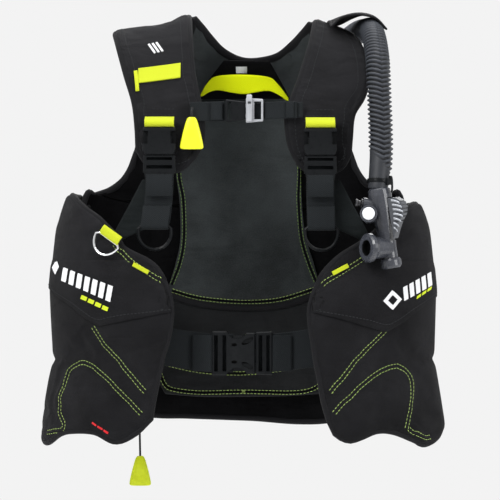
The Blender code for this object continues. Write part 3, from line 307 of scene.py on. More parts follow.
def cord_look():
    """Round braided cord."""
    made, tree, shader = surface("cord", tone(30, 31, 33), 0.75, 0.2, 0.0, 0.1)
    solid = object_place(tree)
    braid = times(tree, bands(tree, solid, "DIAGONAL", 0.0014), bands(tree, solid, "Z", 0.0018))
    paint(tree, shader, braid, tone(16, 17, 18), tone(52, 53, 56))
    set_bump(tree, shader, braid, 0.0005)
    return made


# black nylon: its last argument paints light from above, darker towards the hem and paler towards the
# shoulders
BLACK_NYLON = cloth_look("black_nylon", (29, 29, 31), 0.0011, 0.0006, 0.8, 0.05, 0.03, 0.4, 0.28)
GREY_NYLON = cloth_look("grey_nylon", (30, 34, 35), 0.001, 0.0005, 0.62, 0.07)
# back cloth: the grey nylon made paler as painted light where the back and collar lie in shade, and paler
# still upwards as painted light from above
LIT_BACK_CLOTH = cloth_look("back_cloth", (47, 51, 52), 0.001, 0.0005, 0.55, 0.1, 0.05, 0.5, 0.55)
LUMBAR_CLOTH = cloth_look("lumbar_cloth", (31, 32, 33), 0.0014, 0.0006)
# near-black cloth: painted shade on the faces of panels that look towards the wearer; also the dark seam
# folds and the handle panel
DEEP_CLOTH = cloth_look("deep_cloth", (13, 13, 14), 0.0014, 0.0005, 0.85, 0.02, 0.0)
BINDING = webbing_look("binding", (23, 23, 25), 0.0016)
BLACK_WEB = webbing_look("black_webbing", (28, 31, 33))
YELLOW_WEB = webbing_look("yellow_webbing", (180, 190, 36), 0.0022, 0.75, 0.15, 0.05, 0.1)
HANDLE_WEB = webbing_look("handle_webbing", (216, 228, 6), 0.0022, 0.7, 0.1, 0.02, 0.1)
THREAD = webbing_look("thread", (170, 194, 112), 0.0008, 0.7, 0.1, 0.02, 0.2)
DIM_THREAD = webbing_look("dim_thread", (116, 146, 74), 0.0008, 0.7, 0.1, 0.02, 0.2)
DARK_THREAD = webbing_look("dark_thread", (50, 52, 54), 0.0008, 0.7, 0.1, 0.02, 0.2)
BLACK_PLASTIC = plastic_look("black_plastic", (9, 11, 13), 0.3, 0.09)
SOFT_PLASTIC = plastic_look("inflator_plastic", (44, 46, 52), 0.26, 0.5)
# near-black matt rubber: the valve's own dark colour and painted shade of the mouthpiece's bore
VALVE_AND_BORE_SHADE = plastic_look("valve_black", (3, 3, 4), 0.6, 0.03)
YELLOW_PLASTIC = plastic_look("yellow_plastic", (212, 220, 34), 0.38, 0.35)
LIME_PLASTIC = plastic_look("lime_plastic", (198, 212, 8), 0.42, 0.35)
GREY_PLASTIC = plastic_look("grey_plastic", (138, 140, 144), 0.4, 0.4)
PALE_PLASTIC = plastic_look("pale_plastic", (196, 198, 202), 0.4, 0.4)
SILVER_PLASTIC = plastic_look("silver_plastic", (82, 85, 91), 0.34, 0.4, 0.3)
KEY_PALE = plastic_look("key_pale", (150, 153, 159), 0.34, 0.5, 0.3)
RUBBER = hose_look()
STEEL = plastic_look("steel", (205, 206, 208), 0.22, 0.5, 1.0)
LABEL = cloth_look("label", (196, 198, 202), 0.0011, 0.0003, 0.6, 0.1, 0.0, 0.08)
KEY_BASE = plastic_look("key_base", (58, 60, 64), 0.4, 0.3)
DARK_METAL = plastic_look("dark_metal", (70, 70, 72), 0.3, 0.5, 1.0)
CORD_LOOK = cord_look()
PRINT = cloth_look("white_print", (225, 226, 228), 0.0011, 0.0003, 0.6, 0.2, 0.0, 0.06)
LIME_PRINT = cloth_look("lime_print", (196, 212, 40), 0.0011, 0.0003, 0.6, 0.2, 0.0, 0.06)
RED_THREAD = webbing_look("red_thread", (205, 32, 38), 0.001, 0.7, 0.2, 0.1, 0.15)

SLOT_LOOKS = {
    "black_nylon": BLACK_NYLON, "grey_nylon": GREY_NYLON, "pad_cloth": LUMBAR_CLOTH,
    "black_webbing": BLACK_WEB, "yellow_webbing": YELLOW_WEB, "yellow_plastic": YELLOW_PLASTIC,
    "black_plastic": BLACK_PLASTIC, "grey_plastic": GREY_PLASTIC, "silver_plastic": SILVER_PLASTIC,
    "hose_rubber": RUBBER, "steel": STEEL,
}


# ---------------------------------------------------------------- shape tools


def curve_through(points, count):
    """Points evenly spaced along a smooth curve through the given ones."""
    p = np.array(points, float)
    if len(p) == 2:
        return p[0] + (p[1] - p[0]) * np.linspace(0, 1, count)[:, None]
    padded = np.vstack([2 * p[0] - p[1], p, 2 * p[-1] - p[-2]])
    fine = []
    for i in range(len(p) - 1):
        a, b, c, d = padded[i : i + 4]
        for t in np.linspace(0, 1, 12, endpoint=False):
            fine.append(
                0.5 * (2 * b + (c - a) * t + (2 * a - 5 * b + 4 * c - d) * t * t
                       + (3 * b - a - 3 * c + d) * t**3)
            )
    return evenly(np.array(fine + [p[-1]]), count)


def evenly(line, count):
    """A line's shape, with evenly spaced points."""
    line = np.asarray(line, float)
    along = steps_along(line)
    at = np.linspace(0, along[-1], count)
    return np.stack([np.interp(at, along, line[:, k]) for k in range(line.shape[1])], axis=1)


def length_of(line):
    """A line's length."""
    return float(steps_along(line)[-1])


def patch(top, bottom, left, right, across, down):
    """A grid of points filling four boundary curves; top and bottom run left to right."""
    t, b = curve_through(top, across + 1), curve_through(bottom, across + 1)
    lf, rt = curve_through(left, down + 1), curve_through(right, down + 1)
    u = np.linspace(0, 1, across + 1)[None, :, None]
    v = np.linspace(0, 1, down + 1)[:, None, None]
    ruled = (1 - v) * t[None] + v * b[None] + (1 - u) * lf[:, None] + u * rt[:, None]
    corners = ((1 - u) * (1 - v) * t[0] + u * (1 - v) * t[-1] + (1 - u) * v * b[0] + u * v * b[-1])
    return ruled - corners


def girth(z):
    """Half the vest's width at a height."""
    return np.interp(z, GIRTH_HEIGHTS, GIRTH_HALF_WIDTHS)


def angle_at(x, z, offset):
    """Angle round the body, from its front, of a point seen at x and z."""
    share = min(1.0, abs(x) / (girth(z) + offset))
    return math.copysign(math.degrees(math.asin(share ** (1 / BODY_POWER))), x)


def on_body(angle, z, offset):
    """Place on the body's outline at an angle and height, an offset outside it."""
    turn = np.radians(angle)
    side, front = np.sin(turn), np.cos(turn)
    x = (girth(z) + offset) * np.sign(side) * np.abs(side) ** BODY_POWER
    y = BODY_CENTRE_Y - (BODY_DEPTH + offset) * np.sign(front) * np.abs(front) ** BODY_POWER
    return np.stack([x, y, np.broadcast_to(z, np.shape(x))], axis=-1)


def outward(grid):
    """Unit normals of a grid."""
    return unit_rows(np.cross(np.gradient(grid, axis=1), np.gradient(grid, axis=0)))


def mesh_object(name, points, faces, look, uvs=None, smooth=True):
    """A mesh piece; uvs holds one pair in metres per point."""
    mesh = bpy.data.meshes.new(name)
    mesh.from_pydata([tuple(map(float, p)) for p in points], [], faces)
    mesh.materials.append(look)
    mesh.polygons.foreach_set("use_smooth", [smooth] * len(mesh.polygons))
    layer = mesh.uv_layers.new(name="UVMap")
    if uvs is None:
        uvs = np.asarray(points, float)[:, [0, 2]]
    corners = np.zeros(len(mesh.loops), np.int64)
    mesh.loops.foreach_get("vertex_index", corners)
    layer.data.foreach_set("uv", np.asarray(uvs, float)[corners].ravel())
    mesh.update()
    made = bpy.data.objects.new(name, mesh)
    scene.collection.objects.link(made)
    face_out(made)
    return made


def face_out(made):
    """Turns the faces of a closed mesh outwards."""
    mesh = made.data
    mesh.calc_loop_triangles()
    co = np.zeros(len(mesh.vertices) * 3)
    mesh.vertices.foreach_get("co", co)
    tri = np.zeros(len(mesh.loop_triangles) * 3, np.int64)
    mesh.loop_triangles.foreach_get("vertices", tri)
    c = co.reshape(-1, 3)[tri.reshape(-1, 3)]
    if np.einsum("ij,ij->i", c[:, 0], np.cross(c[:, 1], c[:, 2])).sum() < 0:
        mesh.flip_normals()


def place(made, body=ROOT, stands_for=()):
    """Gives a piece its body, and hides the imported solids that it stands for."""
    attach(made, body)
    if stands_for:
        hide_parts(*stands_for)
    return made


def ring_faces(rings, sides, first=0, closed=False, start_cap=True):
    """Faces of a tube made of rings of points: quads round it, and a cap on each open end."""
    faces = []
    for i in range(rings if closed else rings - 1):
        a, b = first + i * sides, first + (i + 1) % rings * sides
        for k in range(sides):
            q = (k + 1) % sides
            faces.append((a + k, a + q, b + q, b + k))
    if not closed:
        if start_cap:
            faces.append(tuple(first + k for k in reversed(range(sides))))
        faces.append(tuple(first + (rings - 1) * sides + k for k in range(sides)))
    return faces


def grid_faces(rows, cols):
    """Faces of a closed panel whose two layers are grids of points, one after the other."""
    half, faces = rows * cols, []
    for i in range(rows - 1):
        for j in range(cols - 1):
            a, b, c, d = i * cols + j, (i + 1) * cols + j, (i + 1) * cols + j + 1, i * cols + j + 1
            faces += [(a, b, c, d), (half + a, half + d, half + c, half + b)]
    rim = [(0, j) for j in range(cols)] + [(i, cols - 1) for i in range(1, rows)]
    rim += [(rows - 1, j) for j in range(cols - 2, -1, -1)] + [(i, 0) for i in range(rows - 2, 0, -1)]
    for (a, b), (c, d) in zip(rim, rim[1:] + rim[:1]):
        p, q = a * cols + b, c * cols + d
        faces.append((p, q, half + q, half + p))
    return faces


def two_layers(name, grid, outer, inner, look):
    """A closed panel between two layers, cut to the lengths of a grid."""
    points = np.vstack([outer.reshape(-1, 3), inner.reshape(-1, 3)])
    return mesh_object(name, points, grid_faces(*grid.shape[:2]), look, np.vstack([grid_uvs(grid)] * 2))


def grid_uvs(grid):
    """Distances in metres across and down a grid."""
    across = np.linalg.norm(np.diff(grid, axis=1), axis=2).mean(axis=0)
    down = np.linalg.norm(np.diff(grid, axis=0), axis=2).mean(axis=1)
    u = np.concatenate([[0], np.cumsum(across)])
    v = np.concatenate([[0], np.cumsum(down)])
    uu, vv = np.meshgrid(u, v)
    return np.stack([uu, -vv], axis=-1).reshape(-1, 2)


def distance_to_line(points, line):
    """Distance of each point to a polyline."""
    best = np.full(len(points), 1e9)
    for a, b in zip(line[:-1], line[1:]):
        ab = b - a
        t = np.clip(((points - a) @ ab) / max(ab @ ab, 1e-12), 0, 1)
        best = np.minimum(best, np.linalg.norm(points - a - t[:, None] * ab, axis=1))
    return best


def ripples(points, size, seed):
    """Gentle uneven swell of cloth, from -1 to 1."""
    shift = Vector((seed * 3.1, seed * 1.7, seed * 0.9))
    return np.array([noise.noise(Vector(p) / size + shift) for p in points])


PANELS = []  # pads that wait for the pressure simulation, each with the farthest that it may swell
UNBLOWN = 0.72  # how full a pad is cut, before the pressure
SEAM_DEPTH = 0.55  # share of a pad's thickness that a seam pulls in
PRESSURE_FRAMES = 20


def pillow(name, grid, front, back, edge, look, seams=(), cap=0.006, ripple=0.0012, inside_shaded=False):
    """A sewn padded panel on a grid: closed, held at its rim and along its seams, then blown up."""
    rows, cols = grid.shape[:2]
    n = outward(grid)
    flat = grid.reshape(-1, 3)
    u = np.linspace(0, 1, cols)[None, :, None]
    v = np.linspace(0, 1, rows)[:, None, None]
    swell = np.clip(22 * u * (1 - u) * v * (1 - v), 0, 1) ** 0.4
    sewn = np.zeros(len(flat))
    step = np.linalg.norm(grid[1, 1] - grid[0, 0])
    for line in seams:
        away = distance_to_line(flat, np.asarray(line, float))
        sewn = np.maximum(sewn, np.clip(1.35 - away / step, 0, 1))
    pinch = (1 - SEAM_DEPTH * sewn).reshape(rows, cols, 1)
    wave = ripples(flat, 0.055, len(name)).reshape(rows, cols, 1) * ripple * swell
    rise = edge + (front * UNBLOWN - edge) * swell * pinch + wave * pinch
    outer = grid + n * np.maximum(rise, 0.0006)
    inner = grid - n * (edge + (back * UNBLOWN - edge) * swell * pinch)
    made = two_layers(name, grid, outer, inner, look)
    hold = np.zeros((rows, cols))
    hold[0, :] = hold[-1, :] = hold[:, 0] = hold[:, -1] = 1
    hold = np.maximum(hold.ravel(), (sewn > 0.6) * 1.0)
    group = made.vertex_groups.new(name="held")
    for k in np.nonzero(hold)[0]:
        group.add([int(k), int(k) + rows * cols], 1.0, "REPLACE")
    # painted shade: faces towards the wearer take the near-black cloth
    if inside_shaded:
        paint_inside_shade(made)
    place(made, ROOT, (name.replace("_cloth", ""),))
    PANELS.append((made, cap))
    return made


def paint_inside_shade(made):
    """Gives the faces of a panel that look towards the wearer the near-black cloth, as painted shade inside
    the vest.
    """
    made.data.materials.append(DEEP_CLOTH)
    middle = Vector((0, BODY_CENTRE_Y, 0))
    for face in made.data.polygons:
        away = (face.center - middle) * Vector((1, 1, 0))
        face.material_index = int(face.normal.dot(away) < 0)


def add_pressure(made):
    """Cloth that is held where it is sewn and swells under air pressure."""
    cloth = made.modifiers.new("cloth", "CLOTH")
    s = cloth.settings
    s.quality = 4
    s.mass = 0.25
    s.tension_stiffness = s.compression_stiffness = 18
    s.shear_stiffness = 8
    s.bending_stiffness = 0.6
    s.air_damping = 2.0
    s.use_pressure = True
    s.uniform_pressure_force = 4.0
    s.shrink_min = -0.03
    s.effector_weights.gravity = 0
    s.vertex_group_mass = "held"
    cloth.collision_settings.use_collision = False
    cloth.point_cache.frame_start = 1
    cloth.point_cache.frame_end = PRESSURE_FRAMES


def keep_swelling(made, cap, graph):
    """Moves a panel's points to where the cloth took them, softly limited to cap."""
    rest = np.array([v.co for v in made.data.vertices])
    shift = np.array([v.co for v in made.evaluated_get(graph).data.vertices]) - rest
    far = np.linalg.norm(shift, axis=1, keepdims=True)
    shift = shift / np.maximum(far, 1e-9) * cap * np.tanh(far / cap)
    made.modifiers.remove(made.modifiers["cloth"])
    made.data.vertices.foreach_set("co", (rest + shift).ravel())
    made.data.update()


def blow_up():
    """Blows every waiting panel up at once with cloth pressure, and keeps the result."""
    for made, _ in PANELS:
        add_pressure(made)
    for step in range(1, PRESSURE_FRAMES + 1):
        scene.frame_set(step)
    graph = bpy.context.evaluated_depsgraph_get()
    for made, cap in PANELS:
        keep_swelling(made, cap, graph)
    scene.frame_set(1)
    for made, _ in PANELS:
        smooth = made.modifiers.new("smooth", "SUBSURF")
        smooth.levels = smooth.render_levels = 1


class Skin:
    """The final surface of a piece, to lay seams and prints on."""

    def __init__(self, made):
        mesh = made.evaluated_get(bpy.context.evaluated_depsgraph_get()).to_mesh()
        spots, faces = [v.co.copy() for v in mesh.vertices], [tuple(p.vertices) for p in mesh.polygons]
        self.tree = BVHTree.FromPolygons(spots, faces)

    def drop(self, point, lift=0.0, along=None):
        """(place, normal) of the surface nearest to a point, or straight behind it along a direction."""
        hit = None
        if along is not None:
            hit, normal, _, _ = self.tree.ray_cast(Vector(point), Vector(along))
        if hit is None:
            hit, normal, _, _ = self.tree.find_nearest(Vector(point))
        return np.array(hit + normal * lift), np.array(normal)

    def line(self, points, lift=0.0, along=None):
        """Places and normals for a row of points."""
        found = [self.drop(p, lift, along) for p in points]
        return np.array([f[0] for f in found]), np.array([f[1] for f in found])

    def straight_behind(self, ends, count, lift=0.0):
        """Places straight behind a line through points in front of the vest."""
        return self.line(curve_through(ends, count), lift, STRAIGHT_BACK)


def steps_along(line):
    """Distance along a line at each of its points."""
    return np.concatenate([[0], np.cumsum(np.linalg.norm(np.diff(np.asarray(line, float), axis=0), axis=1))])


def sweep(name, line, sides, ups, section, look, closed=False):
    """A cross-section of (side, up) pairs in metres carried along a line."""
    line, section = np.asarray(line, float), np.asarray(section, float)
    n, m = len(line), len(section)
    points = np.concatenate([line[i] + np.outer(section[:, 0], sides[i]) + np.outer(section[:, 1], ups[i])
                             for i in range(n)])
    around, along = steps_along(section), steps_along(line)
    uvs = [(around[k], along[i]) for i in range(n) for k in range(m)]
    return mesh_object(name, points, ring_faces(n, m, closed=closed), look, uvs)


def unit_rows(rows):
    """Each row scaled to length one."""
    return rows / np.maximum(np.linalg.norm(rows, axis=-1, keepdims=True), 1e-9)


def directions(line, closed=False):
    """Unit direction of a line at each of its points."""
    line = np.asarray(line, float)
    if closed:
        return unit_rows(np.roll(line, -1, axis=0) - np.roll(line, 1, axis=0))
    return unit_rows(np.gradient(line, axis=0))


def strap_section(width, thick):
    """Webbing's cross-section, with rolled selvedges, anticlockwise."""
    w, t = width / 2, thick / 2
    top = [(w - 0.3 * t, t), (w - 1.6 * t, 0.85 * t), (0, 0.9 * t), (1.6 * t - w, 0.85 * t), (0.3 * t - w, t)]
    low = [(x, -y) for x, y in reversed(top)]
    return top + [(-w, 0.4 * t), (-w, -0.4 * t)] + low + [(w, -0.4 * t), (w, 0.4 * t)]


def strap(name, route, across, width, thick, look, slot, body=ROOT, count=24, stands_for=(), closed=False):
    """Flat webbing along a route; across is the direction of its width."""
    line = curve_through(route, count)
    if closed:
        line = line[:-1]
    side = unit_rows(np.broadcast_to(np.array(across, float), line.shape))
    up = unit_rows(np.cross(side, directions(line, closed)))
    made = sweep(name, line, side, up, strap_section(width, thick), look, closed)
    return place(made, body, stands_for)


def dark_strap(name, route, across, width, thick=0.0019, body=ROOT, count=24, *more):
    """Black webbing; more is what the strap stands for and whether it is closed."""
    return strap(name, route, across, width, thick, BLACK_WEB, "black_webbing", body, count, *more)


def bright_strap(name, route, across, width, thick, count, stands_for=()):
    """Bright webbing on the vest."""
    return strap(name, route, across, width, thick, YELLOW_WEB, "yellow_webbing", ROOT, count, stands_for)


def oval(width, thick, sides=10):
    """An oval cross-section."""
    return [(width / 2 * math.cos(2 * math.pi * k / sides), thick / 2 * math.sin(2 * math.pi * k / sides))
            for k in range(sides)]


def edging(name, line, normals, width, thick, look=BINDING, slot="black_webbing"):
    """Binding tape or piping along an edge, lying flat against the given normals."""
    ahead = directions(line)
    side = unit_rows(np.cross(ahead, normals))
    up = unit_rows(np.cross(side, ahead))
    return place(sweep(name, line, side, up, oval(width, thick), look))


def bind(name, grid, parts, inset, width, thick, look=BINDING, slot="black_webbing"):
    """Tape round parts of a grid's rim."""
    return edging(name, *rim_line(grid, parts, inset), width, thick, look, slot)


def rim_line(grid, parts, inset=0.0):
    """Points and normals along parts of a grid's rim, a little inside it. Parts: top, bottom, left, right."""
    n = outward(grid)
    runs = {
        "top": (grid[0], grid[1], n[0]), "bottom": (grid[-1], grid[-2], n[-1]),
        "left": (grid[:, 0], grid[:, 1], n[:, 0]), "right": (grid[:, -1], grid[:, -2], n[:, -1]),
    }
    line, normals = [], []
    for part in parts:
        edge, inner, normal = runs[part.strip("-")]
        inward = inner - edge
        inward = inward / np.maximum(np.linalg.norm(inward, axis=1, keepdims=True), 1e-9)
        spots = edge + inward * inset
        if part.startswith("-"):
            spots, normal = spots[::-1], normal[::-1]
        line += list(spots if not line else spots[1:])
        normals += list(normal if not normals else normal[1:])
    line, normals = np.array(line), np.array(normals)
    keep = np.concatenate([[True], np.linalg.norm(np.diff(line, axis=0), axis=1) > 0.0008])
    return line[keep], normals[keep]


def stitches(name, lines, skin, look, along=None):
    """Rows of thread on a surface: one mesh of short rounded dashes."""
    points, faces = [], []
    ring = [(0.5 * math.cos(a), 0.5 * math.sin(a)) for a in np.radians(range(0, 360, 60))]
    for line in lines:
        count = max(1, int(length_of(line) / (DASH + DASH_GAP)))
        fine = evenly(line, 3 * count + 1)
        for k in range(count):
            a = fine[3 * k]
            b = a + (fine[3 * k + 3] - a) * (DASH / (DASH + DASH_GAP))
            pa, na = skin.drop(a, THREAD_THICK * 0.22, along)
            pb, nb = skin.drop(b, THREAD_THICK * 0.22, along)
            way = pb - pa
            size = np.linalg.norm(way)
            if size < DASH * 0.3 or size > DASH * 2.5:
                continue
            way /= size
            up = na + nb
            up /= np.linalg.norm(up)
            side = np.cross(way, up)
            faces += ring_faces(4, len(ring), len(points))
            for t, r in ((0.0, 0.35), (0.2, 1.0), (0.8, 1.0), (1.0, 0.35)):
                for s, h in ring:
                    points.append(pa + way * size * t + (side * s + up * h) * THREAD_THICK * r)
    return place(mesh_object(name, points, faces, look))


def beside(line, gap, normals):
    """The two lines that run half a gap to each side of a line."""
    side = unit_rows(np.cross(directions(line), normals))
    return [line - side * gap / 2, line + side * gap / 2]


# ---------------------------------------------------------------- camera and cords first

CAMERA_PLACE = (0.0095, -2.9, -0.027)
CAMERA_LENS = 148.3


def camera():
    """The camera, level with the waist."""
    lens = bpy.data.cameras.new("camera")
    lens.lens = CAMERA_LENS
    lens.sensor_width = 36
    made = bpy.data.objects.new("camera", lens)
    made.location = CAMERA_PLACE
    made.rotation_euler = (math.pi / 2, 0, 0)
    scene.collection.objects.link(made)
    scene.camera = made


RIB_PITCH = 0.0063
RIB_DEPTH = 0.0042
CHEVRON = 0.009  # how far each rib's point runs down past its sides
CHEVRON_WAY = np.array((0.25, -0.9, 0.7))
CUFF_RADII = (0.014, 0.0127)
CUFF_LENGTH = 0.048
CUFF_TONE = 0.54  # how far the smooth cuffs are from groove to rib in shade
HOSE_SIDES, HOSE_ROWS = 40, 580


def hose_profile(at, total, turn, out):
    """Radius and shade round the hose at a distance along it."""
    spread = np.minimum(turn, 2 * math.pi - turn) / (math.pi / 2)
    rib = (0.5 + 0.5 * np.cos(2 * math.pi * (at - CHEVRON * (1 - spread)) / RIB_PITCH)) ** 0.55
    to_cuff = total - CUFF_LENGTH * (0.7 - 0.3 * out[:, 0]) - at
    ribbed = np.clip(to_cuff / 0.007, 0, 1) * min(1.0, max(0.0, (at - 0.022) / 0.006))
    along_cuff = np.clip((at - total + CUFF_LENGTH) / CUFF_LENGTH, 0, 1)
    cuff = CUFF_RADII[0] + (CUFF_RADII[1] - CUFF_RADII[0]) * along_cuff
    cuff = np.where(at > total / 2, cuff, HOSE_DIAMETER / 2 - 0.001)
    radius = cuff * (1 - ribbed) + (HOSE_DIAMETER / 2 - 0.0003 - RIB_DEPTH * (1 - rib)) * ribbed
    return radius, rib * ribbed + CUFF_TONE * (1 - ribbed)


def hose():
    """Corrugated hose: one moulded tube with smooth cuffs, whose ribs run to a point at the front."""
    line = curve_through(HOSE_ROUTE, HOSE_ROWS)
    ahead = directions(line)
    point = unit_rows(CHEVRON_WAY - ahead * (ahead @ CHEVRON_WAY)[:, None])
    beside_it = np.cross(point, ahead)
    total = length_of(line)
    turn = 2 * math.pi * np.arange(HOSE_SIDES) / HOSE_SIDES
    points, uvs = [], []
    for i in range(HOSE_ROWS):
        at = total * i / (HOSE_ROWS - 1)
        out = np.outer(np.cos(turn), point[i]) + np.outer(np.sin(turn), beside_it[i])
        radius, shade = hose_profile(at, total, turn, out)
        points.append(line[i] + radius[:, None] * out)
        uvs += [(float(t), at) for t in shade]
    faces = ring_faces(HOSE_ROWS, HOSE_SIDES)
    made = mesh_object("corrugated_hose", np.concatenate(points), faces, RUBBER, uvs)
    at = np.argmin(np.linalg.norm(line - np.array(HOSE_BEND), axis=1))
    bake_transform(made)
    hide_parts("hose_upper", "hose_lower")
    tie = hose_tie(line, ahead)


def fixed(direction, line):
    """One direction repeated for every point of a line."""
    return np.broadcast_to(direction, np.shape(line))


def hose_tie(line, ahead):
    """The cable tie that holds the hose's cuff on the inflator: band, head and trimmed tail."""
    at = int(np.argmin(np.abs(line[:, 2] - 0.06)))
    centre, down = line[at], ahead[at]
    side = np.cross(down, (0, -1, 0))
    side /= np.linalg.norm(side)
    ring = np.radians(range(0, 360, 9))
    out = np.outer(np.cos(ring), side) + np.outer(np.sin(ring), np.cross(side, down))
    band = centre + out * 0.0139
    tie = sweep("hose_tie", band, fixed(down, band), out, strap_section(0.0048, 0.0016), BLACK_PLASTIC, True)
    place(tie, "inflator_arm", ("hose_clamp",))
    out, across = np.array((0.8, -0.6, 0.0)), np.array((0.6, 0.8, 0.0))
    head = centre + out * 0.0158
    box = mm("-3.3 -2.2, 3.3 -2.2, 3.3 2.2, -3.3 2.2")
    spots = np.array([head + (0, 0, dz) for dz in (-0.0042, -0.0036, 0.0036, 0.0042)])
    block = sweep("hose_tie_head", spots, fixed(across, spots), fixed(out, spots), box, BLACK_PLASTIC)
    place(block, "inflator_arm")
    tail = [head + out * far + (0, 0, rise) for far, rise in
            ((0.0, 0.003), (0.002, 0.0075), (0.004, 0.004), (0.0048, -0.006), (0.0042, -0.014))]
    strap("hose_tie_tail", tail, across, 0.0036, 0.0013, BLACK_PLASTIC, "black_plastic", "inflator_arm", 14)
    return tie


def braided_cord(name, route, count, body, stands_for):
    """A round cord along a route."""
    curve = bpy.data.curves.new(name, "CURVE")
    curve.dimensions = "3D"
    curve.bevel_depth = CORD_DIAMETER / 2
    curve.bevel_resolution = 4
    curve.use_fill_caps = True
    spline = curve.splines.new("POLY")
    line = curve_through(route, count)
    spline.points.add(len(line) - 1)
    for point, spot in zip(spline.points, line):
        point.co = (*spot, 1.0)
    curve.materials.append(CORD_LOOK)
    made = bpy.data.objects.new(name, curve)
    scene.collection.objects.link(made)
    return place(made, body, stands_for)


PULL_PROFILE = mm(
    "0 3.8, -1.8 5.6, -6 7.5, -14 9.8, -22 11.9, -30 13.7, -35.5 14.8, -39 15, -40.7 14, -41.3 11.2")
PULL_SIDES = 36


def rounded(value, power):
    """A cosine or sine raised to a power, keeping its sign."""
    return math.copysign(abs(value) ** power, value)


def pull_shape(node_name, look, body):
    """A moulded pear-shaped pull with a flattened body and a shallow thumb hollow: (piece, its top)."""
    low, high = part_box(node_name)
    top = ((low.x + high.x) / 2, (low.y + high.y) / 2, high.z)
    heights = curve_through(PULL_PROFILE, 34)
    points = []
    for z, half in heights:
        deep = 0.003 + 0.0018 * math.sin(min(1.0, max(0.0, -z / 0.0412)) * math.pi) ** 0.8
        for k in range(PULL_SIDES):
            a = 2 * math.pi * k / PULL_SIDES
            x, y = half * rounded(math.cos(a), 0.8), deep * rounded(math.sin(a), 0.75)
            hollow = math.exp(-((x / 0.0075) ** 2 + ((z + 0.026) / 0.009) ** 2)) * 0.0013
            y -= math.copysign(hollow, math.sin(a))
            points.append((top[0] + x, top[1] + y, top[2] + z))
    faces = ring_faces(len(heights), PULL_SIDES)
    faces[-2:] = [cap[::-1] for cap in faces[-2:]]
    made = mesh_object(node_name + "_grip", points, faces, look)
    return place(made, body, (node_name,)), top


def pulls():
    """The two dump pulls and their cords."""
    pull, _ = pull_shape("rear_pull", LIME_PLASTIC, "rear_toggle")
    cord = braided_cord("rear_cord", REAR_PULL_ROUTE, 26, "rear_toggle", ("rear_pull_cord",))
    _, (x, y, z) = pull_shape("shoulder_pull", YELLOW_PLASTIC, "shoulder_toggle")
    route = [(x, y, z - 0.001), (x, y + 0.0006, z + 0.006), (x + 0.0005, y + 0.004, z + 0.0125)]
    braided_cord("shoulder_cord", route, 8, "shoulder_toggle", ("shoulder_pull_cord",))


# ---------------------------------------------------------------- sewn panels


def lobe_grid(side, top, inner, hem, offset, rear, across, down, shrink=0.0):
    """Grid of a front lobe between the edges seen from the front and a rear edge given by three angles."""
    lift = np.array([0.0, -1.0]) * shrink
    turn = np.degrees(shrink / (BODY_DEPTH + offset))
    top_line, hem_line, inner_line = (
        [np.array((angle_at(x, z, offset), z)) + move for x, z in seen]
        for seen, move in ((top, lift), (hem, -lift), (inner, (side * turn, 0))))
    top_line.insert(0, np.array([side * rear[0], top_line[0][1] + 0.001]))
    hem_line.insert(0, np.array([side * rear[2], hem_line[0][1] + 0.012]))
    top_line[-1] = inner_line[0] = np.array([inner_line[0][0], top_line[-1][1]])
    hem_line[-1] = inner_line[-1] = np.array([inner_line[-1][0], hem_line[-1][1]])
    rear_line = [top_line[0], np.array([side * rear[1], -0.1]), hem_line[0]]
    flat = patch(top_line, hem_line, rear_line, inner_line, across, down)
    return side_out(on_body(flat[..., 0], flat[..., 1], offset), side)


def on_front(points, offset):
    """Places on the body for points given by x and z on its front."""
    return np.array([on_body(angle_at(x, z, offset), z, offset) for x, z in points])


SEAMS = {
    "right": {
        "top": mm("-168 -20, -160 -27, -144 -42, -123 -55, -101 -68"),
        "flap": mm(
            "-262 -76, -246 -87, -228 -99, -212 -112, -197.5 -122.5, -190 -124.5, -178 -121.5, -127 -111, "
            "-92 -104"),
        "slant": mm("-196 -127, -179 -151, -157 -174, -125 -208"),
        "arch": mm(
            "-131 -235, -158 -209, -186 -184, -205 -173, -219 -173, -228 -182, -233 -196, -242 -218, "
            "-243 -238, -236 -251, -241 -260, -262 -264"),
    },
    "left": {
        "top": mm("166 -32, 157 -38, 130 -54, 101 -70"),
        "flap": mm(
            "257 -88, 244 -97, 225 -110, 211 -121, 197.5 -130.5, 188 -131, 176 -127.5, 136 -116, 89 -104"),
        "slant": mm("186 -132, 167 -150, 148 -168, 111 -209"),
        "arch": mm(
            "116 -234, 140 -212, 169 -189, 190 -178, 207 -177, 218 -186, 222 -205, 220 -232, 215 -257"),
        "foot": mm("218 -256, 226 -262.5, 238 -268, 250 -266.5"),
    },
}
SIDES = (
    (-1, "right", RIGHT_TOP, RIGHT_INNER, RIGHT_HEM),
    (1, "left", LEFT_TOP, LEFT_INNER, LEFT_HEM),
)
GRIDS, MADE = {}, {}


def side_out(grid, side):
    """Turns the grids of the left side, so that every panel's normals point outwards."""
    return grid[:, ::-1] if side > 0 else grid


def front_panels():
    """The two lobes of the air cell, and the padded pocket on each."""
    for side, word, *edges in SIDES:
        cell = lobe_grid(side, *edges, -0.002, LOBE_REAR, 40, 30, 0.012)
        pillow(f"air_cell_lobe_{word}_cloth", cell, 0.0095, 0.012, 0.003, GREY_NYLON, cap=0.003,
               inside_shaded=True)
        grid = lobe_grid(side, *edges, POCKET_OFFSET, POCKET_REAR, 64, 52)
        GRIDS["pocket_" + word] = grid
        sewn = [curve_through(on_front(SEAMS[word][key], POCKET_OFFSET), 60)
                for key in ("top", "slant", "arch")]
        MADE["pocket_" + word] = pillow(f"pocket_{word}_cloth", grid, 0.009, 0.0095, 0.0035, BLACK_NYLON,
                                        sewn, cap=0.005, ripple=0.0016)


QUILT = ((0, 0.12, 0.0), (1, -0.05, 0.001), (2, -0.22, 0.004))  # steps sideways, height and distance out


